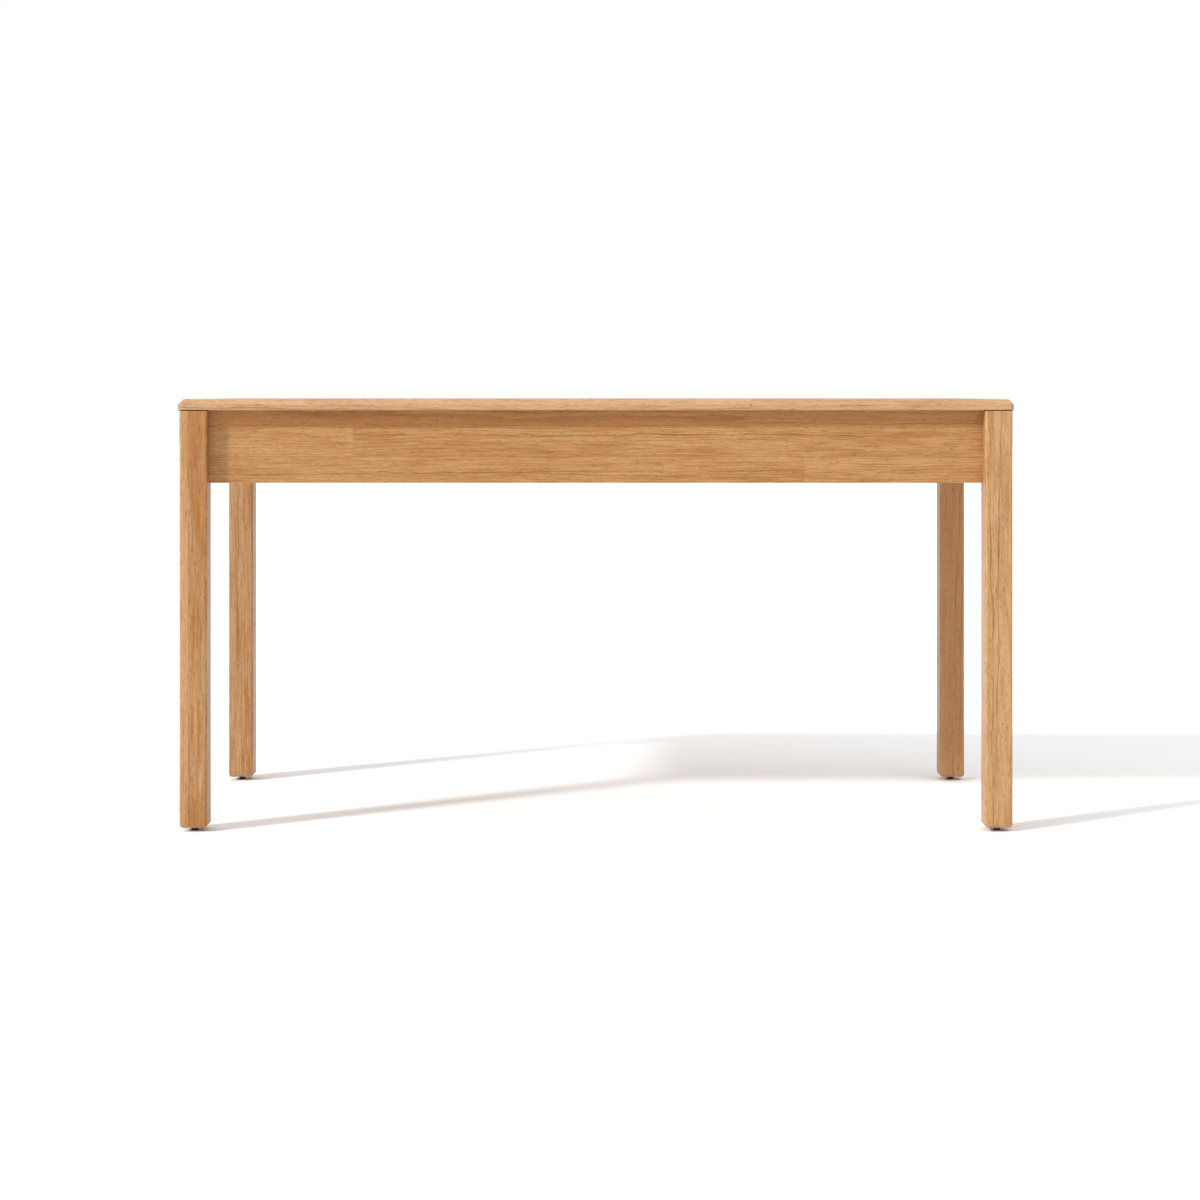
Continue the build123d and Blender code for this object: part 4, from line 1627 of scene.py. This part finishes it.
    def block(self) -> None:
        """Makes the mitred corner block, bored for the bolts and counterbored for the screws."""
        low, high = self.block_heights
        reach = self.block_reach
        outer = (self.block_inner - self.block_thickness) * math.sqrt(2)
        piece = Workpiece()
        corners = [(reach, 0), (0, reach), (0, outer), (outer, 0)]
        piece.prism([self.at(a, b, low) for a, b in corners], UP * (high - low))
        diagonal = Vector((abs(self.inward.y), abs(self.inward.x), 0))
        brink = piece.edges_where(lambda middle, run: run.dot(diagonal) > MOSTLY)
        piece.bevel(brink, self.block_arris, 1)
        holes = Workpiece()
        bolt_drill = self.fittings.drill(self.bolt_hole, reach)
        bolt_ways = [facing(self.on_diagonal(0, z), self.inward) for z in self.bolt_heights]
        holes.stamp(bolt_drill, bolt_ways)
        counter_drill = self.fittings.drill(self.counterbore, reach)
        holes.stamp(counter_drill, [facing(seat, -way) for seat, way, _ in self.screw_seats()])
        piece.carve(holes)
        piece.shade(self.block_flat_area)
        luck = 83 + self.right + 3 * self.back
        box = self.box_of([self.at(0, 0, low), self.at(reach, reach, high)])
        Lamination(Grain.Z, seed=luck, row_edges=()).lay(piece, *box)
        piece.publish(f"block_{self.name}", f"corner_block_{self.name}", self.finishes, Grain.Z)

    @staticmethod
    def box_of(points: list[Vector]) -> tuple[Vector, Vector]:
        """The box that holds some points.

        Args:
            points: The points.

        Returns:
            Its lowest and highest corners.
        """
        low, high = points[0].copy(), points[0].copy()
        for point in points:
            low = Vector(map(min, low, point))
            high = Vector(map(max, high, point))
        return low, high

    def screw_seats(self) -> list[tuple[Vector, Vector, float]]:
        """Where the block's four screws sit.

        Returns:
            Each one's seat, direction and turn.
        """
        to_long, to_side = Vector((0, self.back, 0)), Vector((self.right, 0, 0))
        seats = []
        for order, height in enumerate(self.screw_heights):
            turn = 0.35 + order * 0.9
            seats.append((self.at(self.screw_reach, self.screw_grip, height), to_long, turn))
            seats.append((self.at(self.screw_grip, self.screw_reach, height), to_side, turn + 0.5))
        return seats

    def screws(self) -> None:
        """Sets the four screws that hold the block to its aprons."""
        piece = Workpiece()
        seats = [facing(seat, way, turn) for seat, way, turn in self.screw_seats()]
        piece.stamp(self.fittings.screw(self.screw_length), seats)
        piece.publish(f"block_screw_set_{self.name}", f"block_screws_{self.name}", self.finishes)

    def bolts(self) -> None:
        """Sets the hanger bolts with their washers and nuts."""
        fit = self.fittings
        washer_top = self.block_inner + fit.washer_thickness
        reach = washer_top + fit.nut_thickness + self.bolt_past_nut - self.flat_at
        bolt = fit.hanger_bolt(self.bolt_in_leg, reach, self.bolt_thread)
        sets = (
            ("bolt", bolt, self.flat_at, (0.0, 0.0)),
            ("washer", fit.washer(), self.block_inner, (0.0, 0.0)),
            ("nut", fit.nut(), washer_top, self.nut_turns),
        )
        for kind, mesh, distance, turns in sets:
            piece = Workpiece()
            piece.stamp(mesh, [
                facing(self.on_diagonal(distance, height), self.inward, turn)
                for height, turn in zip(self.bolt_heights, turns)
            ])
            piece.publish(f"hanger_{kind}_pair_{self.name}", f"hanger_{kind}s_{self.name}", self.finishes)

    def dowels(self) -> None:
        """Sets the dowels between the leg and its two aprons."""
        piece = Workpiece()
        base = self.long_apron[0].z
        long_middle = (self.long_apron[0].y + self.long_apron[1].y) / 2
        side_middle = (self.side_apron[0].x + self.side_apron[1].x) / 2
        leg_low, leg_high = self.leg_box
        face_x = leg_low.x if self.right > 0 else leg_high.x
        face_y = leg_low.y if self.back > 0 else leg_high.y
        back_off = self.dowel_in_leg - self.dowel_gap
        places = []
        for rise in self.long_dowels:
            start = Vector((face_x + self.right * back_off, long_middle, base + rise))
            places.append(facing(start, Vector((-self.right, 0, 0))))
        for rise in self.side_dowels:
            start = Vector((side_middle, face_y + self.back * back_off, base + rise))
            places.append(facing(start, Vector((0, -self.back, 0))))
        piece.stamp(self.fittings.dowel(self.dowel_length), places)
        piece.publish(f"apron_dowel_set_{self.name}", f"apron_dowels_{self.name}", self.finishes, Grain.X)


# ---------------------------------------------------------------- levelling feet


@dataclass(frozen=True)
class LevellingFoot:
    """A swivelling foot: a ribbed pad, a stud held captive in it, and its threaded sleeve."""

    rib_count: int = 24
    rib_depth: float = 0.00025
    stud_pitch: float = 0.0010
    collar_across_flats: float = 0.0080
    collar_thickness: float = 0.0020
    collar_height: float = 0.0045
    barbs: int = 6

    def build(self, corner: str, finishes: Finishes) -> None:
        """Makes the three pieces of one corner's foot.

        Args:
            corner: The corner that it stands under.
            finishes: The table's finishes.
        """
        low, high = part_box(f"foot_pad_{corner}")
        axis = Matrix.Translation(Vector(((low.x + high.x) / 2, (low.y + high.y) / 2, 0)))
        made = (
            ("pad", "foot_pad_moulding", self.pad()),
            ("stud", "foot_stud_turned", self.stud()),
            ("insert", "foot_sleeve", self.sleeve()),
        )
        for part, name, mesh in made:
            piece = Workpiece()
            piece.stamp(mesh, [axis])
            piece.publish(f"{name}_{corner}", f"foot_{part}_{corner}", finishes)

    @cache
    def pad(self) -> bpy.types.Mesh:
        """Turns the pad with its socket, then ribs its rim.

        Returns:
            The mesh, on the foot's axis.
        """
        outer, top, neck, disc, socket = 0.0060, 0.0043, 0.00265, 0.00410, (0.0015, 0.0029)
        outline = [
            (0, 0.0002), (0.0038, 0.0002), (0.0041, 0), (0.0050, 0), (0.0055, 0.0002),
            (0.0059, 0.0006), (outer, 0.0010), (outer, 0.0034), (0.0059, 0.0038), (0.0056, 0.0041),
            (0.0052, top), (0.0034, top), (neck, top - 0.0004), (neck, socket[1]), (disc, socket[1]),
            (disc, socket[0]), (0, socket[0]),
        ]
        piece = Workpiece()
        piece.lathe(outline, self.rib_count * 2)
        for vert in piece.mesh.verts:
            turn = round(math.atan2(vert.co.y, vert.co.x) / FULL_TURN * self.rib_count * 2)
            on_rim = vert.co.xy.length > outer - NEAR
            if on_rim and turn % 2:
                vert.co.xy *= 1 - self.rib_depth / outer
        piece.shade(flat_area=0.0)
        for face in piece.mesh.faces:
            face.smooth = face.calc_center_median().xy.length < outer * 0.95
        return piece.to_mesh("foot_pad")

    @cache
    def stud(self) -> bpy.types.Mesh:
        """Turns the stud, adds its hexagon collar and winds its thread.

        Returns:
            The mesh, on the foot's axis.
        """
        crest, core, neck = 0.0030, 0.00238, 0.0026
        piece = Workpiece()
        outline = [
            (0, 0.0016), (0.0038, 0.0016), (0.0040, 0.0018), (0.0040, 0.0026), (0.0038, 0.0028),
            (neck, 0.0028), (neck, 0.0068), (core, 0.0074), (core, 0.0292), (core - 0.0006, 0.0300),
            (0, 0.0300),
        ]
        piece.lathe(outline, 32)
        piece.thread(crest, core * 0.95, self.stud_pitch, 0.0072, 0.0296, 28)
        collar = hexagon_blank(self.collar_across_flats, self.collar_thickness).to_mesh("collar")
        piece.stamp(collar, [Matrix.Translation(UP * self.collar_height)])
        piece.shade(flat_area=ALL_ROUND, crease=CRISP)
        return piece.to_mesh("foot_stud")

    @cache
    def sleeve(self) -> bpy.types.Mesh:
        """Turns the flanged sleeve, barbed outside and bored inside.

        Returns:
            The mesh, on the foot's axis.
        """
        base, flange, reach, bore, top = 0.0070, 0.0070, 0.0050, 0.00305, 0.0250
        outline = [
            (bore + 0.0005, base), (flange - 0.0003, base), (flange, base + 0.0003),
            (flange, base + 0.0012), (reach - 0.0006, base + 0.0012),
        ]
        rise = (top - base - 0.0030) / self.barbs
        for barb in range(self.barbs):
            height = base + 0.0020 + barb * rise
            steep, easy = height + rise * 0.25, height + rise * 0.8
            outline += [(reach, height), (reach, steep), (reach - 0.0007, easy)]
        outline += [(reach - 0.0010, top), (bore, top), (bore, base + 0.0005), (bore + 0.0005, base)]
        piece = Workpiece()
        piece.lathe(outline, 40)
        piece.shade(flat_area=ALL_ROUND, crease=CRISP)
        return piece.to_mesh("foot_sleeve")


# ---------------------------------------------------------------- panel clips


@dataclass
class PanelClips:
    """The stepped clips that hold the panel to the aprons, and their screws."""

    thickness: float = 0.0015
    width: float = 0.0200
    tongue: float = 0.0070
    flange: float = 0.0220
    stand_off: float = 0.0004
    drop: float = 0.0130
    bend: float = 0.0012
    corner: float = 0.0030
    hole: float = 0.0023
    screw_inset: float = 0.0130
    screw_length: float = 0.0145
    screw_turn: float = 0.4
    bend_segments: int = 4
    flat_area: float = 0.00005
    crease: float = 40.0
    long_stations: tuple[float, ...] = (-0.520, -0.200, 0.200, 0.520)
    side_stations: tuple[float, ...] = (-0.110, 0.110)

    def build(self, finishes: Finishes, fittings: Fittings) -> None:
        """Makes the clips and screws of all four sides.

        Args:
            finishes: The table's finishes.
            fittings: The small parts that are made once and used again.
        """
        clip = self.clip(fittings)
        screw = fittings.screw(self.screw_length)
        for side in ("front", "back", "left", "right"):
            places = self.places(side)
            clips, screws = Workpiece(), Workpiece()
            clips.stamp(clip, places)
            seat = Matrix.Translation(Vector((self.screw_inset, 0, -self.thickness)))
            screws.stamp(screw, [
                place @ seat @ Matrix.Rotation(self.screw_turn + order, 4, "Z")
                for order, place in enumerate(places)
            ])
            clips.publish(f"clip_set_{side}", f"top_clips_{side}", finishes)
            screws.publish(f"clip_screw_set_{side}", f"top_clip_screws_{side}", finishes)

    def places(self, side: str) -> list[Matrix]:
        """Where the clips of one side stand: X inward from the apron's face, Z at the panel.

        Args:
            side: The side of the table.

        Returns:
            A placing matrix for each clip.
        """
        low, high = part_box(f"apron_{side}")
        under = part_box("tabletop")[0].z
        if side in ("front", "back"):
            face = high.y if side == "front" else low.y
            turn = math.pi / 2 if side == "front" else -math.pi / 2
            points = [Vector((station, face, under)) for station in self.long_stations]
        else:
            face = high.x if side == "left" else low.x
            turn = 0.0 if side == "left" else math.pi
            points = [Vector((face, station, under)) for station in self.side_stations]
        return [Matrix.Translation(point) @ Matrix.Rotation(turn, 4, "Z") for point in points]

    def clip(self, fittings: Fittings) -> bpy.types.Mesh:
        """Bends one clip from strip, rounds its ends and drills it.

        Args:
            fittings: The small parts, for the drill.

        Returns:
            The mesh.
        """
        web, half = self.stand_off, self.thickness / 2
        outside, low, tip = web + self.thickness, -self.drop - half, web + self.flange
        corners = [
            (-self.tongue, low), (outside, low), (outside, -self.thickness), (tip, -self.thickness),
            (tip, 0), (web, 0), (web, -self.drop + half), (-self.tongue, -self.drop + half),
        ]
        piece = Workpiece()
        start = [Vector((x, -self.width / 2, z)) for x, z in corners]
        piece.prism(start, Y_AXIS * self.width)
        bent = ((outside, low), (web, 0.0))
        bends = piece.edges_where(
            lambda middle, run: run.y > MOSTLY
            and any(abs(middle.x - x) + abs(middle.z - z) < NEAR for x, z in bent)
        )
        piece.bevel(bends, self.bend, self.bend_segments)
        ends = (-self.tongue, tip)
        tips = piece.edges_where(
            lambda middle, run: run.z > MOSTLY and min(abs(middle.x - x) for x in ends) < NEAR
        )
        piece.bevel(tips, self.corner, self.bend_segments)
        place = Matrix.Translation(Vector((self.screw_inset, 0, -self.thickness * 2)))
        piece.drilled([place], fittings.drill(self.hole, self.thickness * 3))
        piece.shade(self.flat_area, self.crease)
        return piece.to_mesh("clip")


# ---------------------------------------------------------------- studio


WHITE = (1.0, 1.0, 1.0, 1.0)


@dataclass
class Studio:
    """The floor, the light and the camera."""

    distance: float = 4.100
    eye_height: float = 0.7607
    eye_right: float = 0.007
    lens: float = 71.04
    sensor: float = 36.0
    shift: float = -0.1725
    sun_from: tuple[float, float, float] = (-1.5, -1.0, 1.15)
    sun_width: float = 6.0
    sun_strength: float = 2.6
    sky_low: float = 0.40
    sky_high: float = 1.28
    backdrop: float = 1.0
    floor_half: float = 30.0
    floor_squares: int = 8
    far_clip: float = 200.0

    def build(self) -> None:
        """Sets up the studio."""
        self.floor()
        self.lights()
        self.camera()
        bpy.context.scene.view_settings.view_transform = "Standard"

    def floor(self) -> None:
        """Lays the floor."""
        piece = Workpiece()
        squares = {"x_segments": self.floor_squares, "y_segments": self.floor_squares}
        bmesh.ops.create_grid(piece.mesh, size=self.floor_half, **squares)
        floor = bpy.data.objects.new("studio_floor", piece.to_mesh("studio_floor"))
        floor.data.materials.append(StudioFloor("studio_floor").material())
        bpy.context.scene.collection.objects.link(floor)

    def lights(self) -> None:
        """Hangs one broad light at the upper left and fills the room with soft white."""
        lamp = bpy.data.lights.new("key_light", "SUN")
        lamp.energy = self.sun_strength
        lamp.angle = math.radians(self.sun_width)
        key = bpy.data.objects.new("key_light", lamp)
        key.rotation_mode = "QUATERNION"
        key.rotation_quaternion = Vector(self.sun_from).to_track_quat("Z", "Y")
        bpy.context.scene.collection.objects.link(key)
        world = bpy.data.worlds.new("studio_room")
        bpy.context.scene.world = world
        world.use_nodes = True
        nodes, links = world.node_tree.nodes, world.node_tree.links
        nodes.clear()
        path = nodes.new("ShaderNodeLightPath")
        fill, seen = nodes.new("ShaderNodeBackground"), nodes.new("ShaderNodeBackground")
        way, split = nodes.new("ShaderNodeTexCoord"), nodes.new("ShaderNodeSeparateXYZ")
        slope = nodes.new("ShaderNodeMapRange")
        links.new(way.outputs["Generated"], split.inputs[0])
        links.new(split.outputs["Z"], slope.inputs["Value"])
        slope.inputs["To Min"].default_value = self.sky_low
        slope.inputs["To Max"].default_value = self.sky_high
        links.new(slope.outputs[0], fill.inputs["Strength"])
        seen.inputs["Strength"].default_value = self.backdrop
        for light in (fill, seen):
            light.inputs["Color"].default_value = WHITE
        mix, out = nodes.new("ShaderNodeMixShader"), nodes.new("ShaderNodeOutputWorld")
        links.new(path.outputs["Is Camera Ray"], mix.inputs[0])
        links.new(fill.outputs[0], mix.inputs[1])
        links.new(seen.outputs[0], mix.inputs[2])
        links.new(mix.outputs[0], out.inputs["Surface"])

    def camera(self) -> None:
        """Sets the camera level, square to the front and at about the panel's height."""
        lens = bpy.data.cameras.new("camera")
        lens.lens = self.lens
        lens.sensor_width = self.sensor
        lens.shift_y = self.shift
        lens.clip_end = self.far_clip
        eye = bpy.data.objects.new("camera", lens)
        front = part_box("leg_front_left")[0].y
        eye.location = Vector((self.eye_right, front - self.distance, self.eye_height))
        eye.rotation_euler = (math.pi / 2, 0.0, 0.0)
        bpy.context.scene.collection.objects.link(eye)
        bpy.context.scene.camera = eye


# ---------------------------------------------------------------- the table


CORNERS = ("front_left", "front_right", "back_left", "back_right")


def leg_laminations() -> dict[str, Lamination]:
    """How each leg is glued up from upright strips, and the figure that shows on its face; the back right
    leg also carries painted warm shade.

    Returns:
        A lamination for each corner.
    """
    low = {name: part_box(f"leg_{name}")[0] for name in CORNERS}
    near_left, near_right = low["front_left"].x, low["front_right"].x
    far_left, far_right = low["back_left"], low["back_right"]
    return {
        "front_left": Lamination(
            Grain.Z, 101, (near_left + 0.016,), tones={(0, 0): 0.32, (1, 0): 0.56},
            hearts_and_shade={(1, 0): (near_left + 0.1104, -0.160, 0.42)},
            lines={(1, 0): (near_left + 0.0660, -0.080, 0.30)},
        ),
        "front_right": Lamination(
            Grain.Z, 107, (near_right + 0.015,), tones={(0, 0): 0.22, (1, 0): 0.14},
            lines={
                (0, 0): (near_right + 0.0160, -0.012, 0.55),
                (1, 0): (near_right + 0.0160, 0.018, 0.60),
            },
        ),
        "back_left": Lamination(
            Grain.Z, 113, (far_left.x + 0.016, far_left.x + 0.032), tone_low=0.34, tone_high=0.42,
            piths={(n, 0): (far_left.x - 0.090 - 0.03 * n, far_left.y + 0.004, 0.0) for n in range(3)},
        ),
        "back_right": Lamination(
            Grain.Z, 127, (far_right.x + 0.024,), tone_low=0.04, tone_high=0.10,
            # A heart below the whole leg lays the redder heart colour all over it: partly the leg's own
            # tone, partly painted warm shade.
            hearts_and_shade={(n, 0): (far_right.x - 1.0, 0.0, 0.34) for n in range(2)},
        ),
    }


def main() -> None:
    """Builds the table piece by piece, then the studio round it."""
    logging.basicConfig(level=logging.INFO, format="%(message)s")
    finishes, fittings = Finishes(), Fittings()
    Tabletop().build(finishes)
    ApronFrame().build(finishes)
    MiddleRail().build(finishes, fittings)
    PanelClips().build(finishes, fittings)
    foot = LevellingFoot()
    for name, lamination in leg_laminations().items():
        right = 1 if name.endswith("right") else -1
        back = 1 if name.startswith("back") else -1
        Corner(name, right, back, lamination, fittings, finishes).build()
        foot.build(name, finishes)
    Studio().build()


if __name__ == "__main__":
    main()
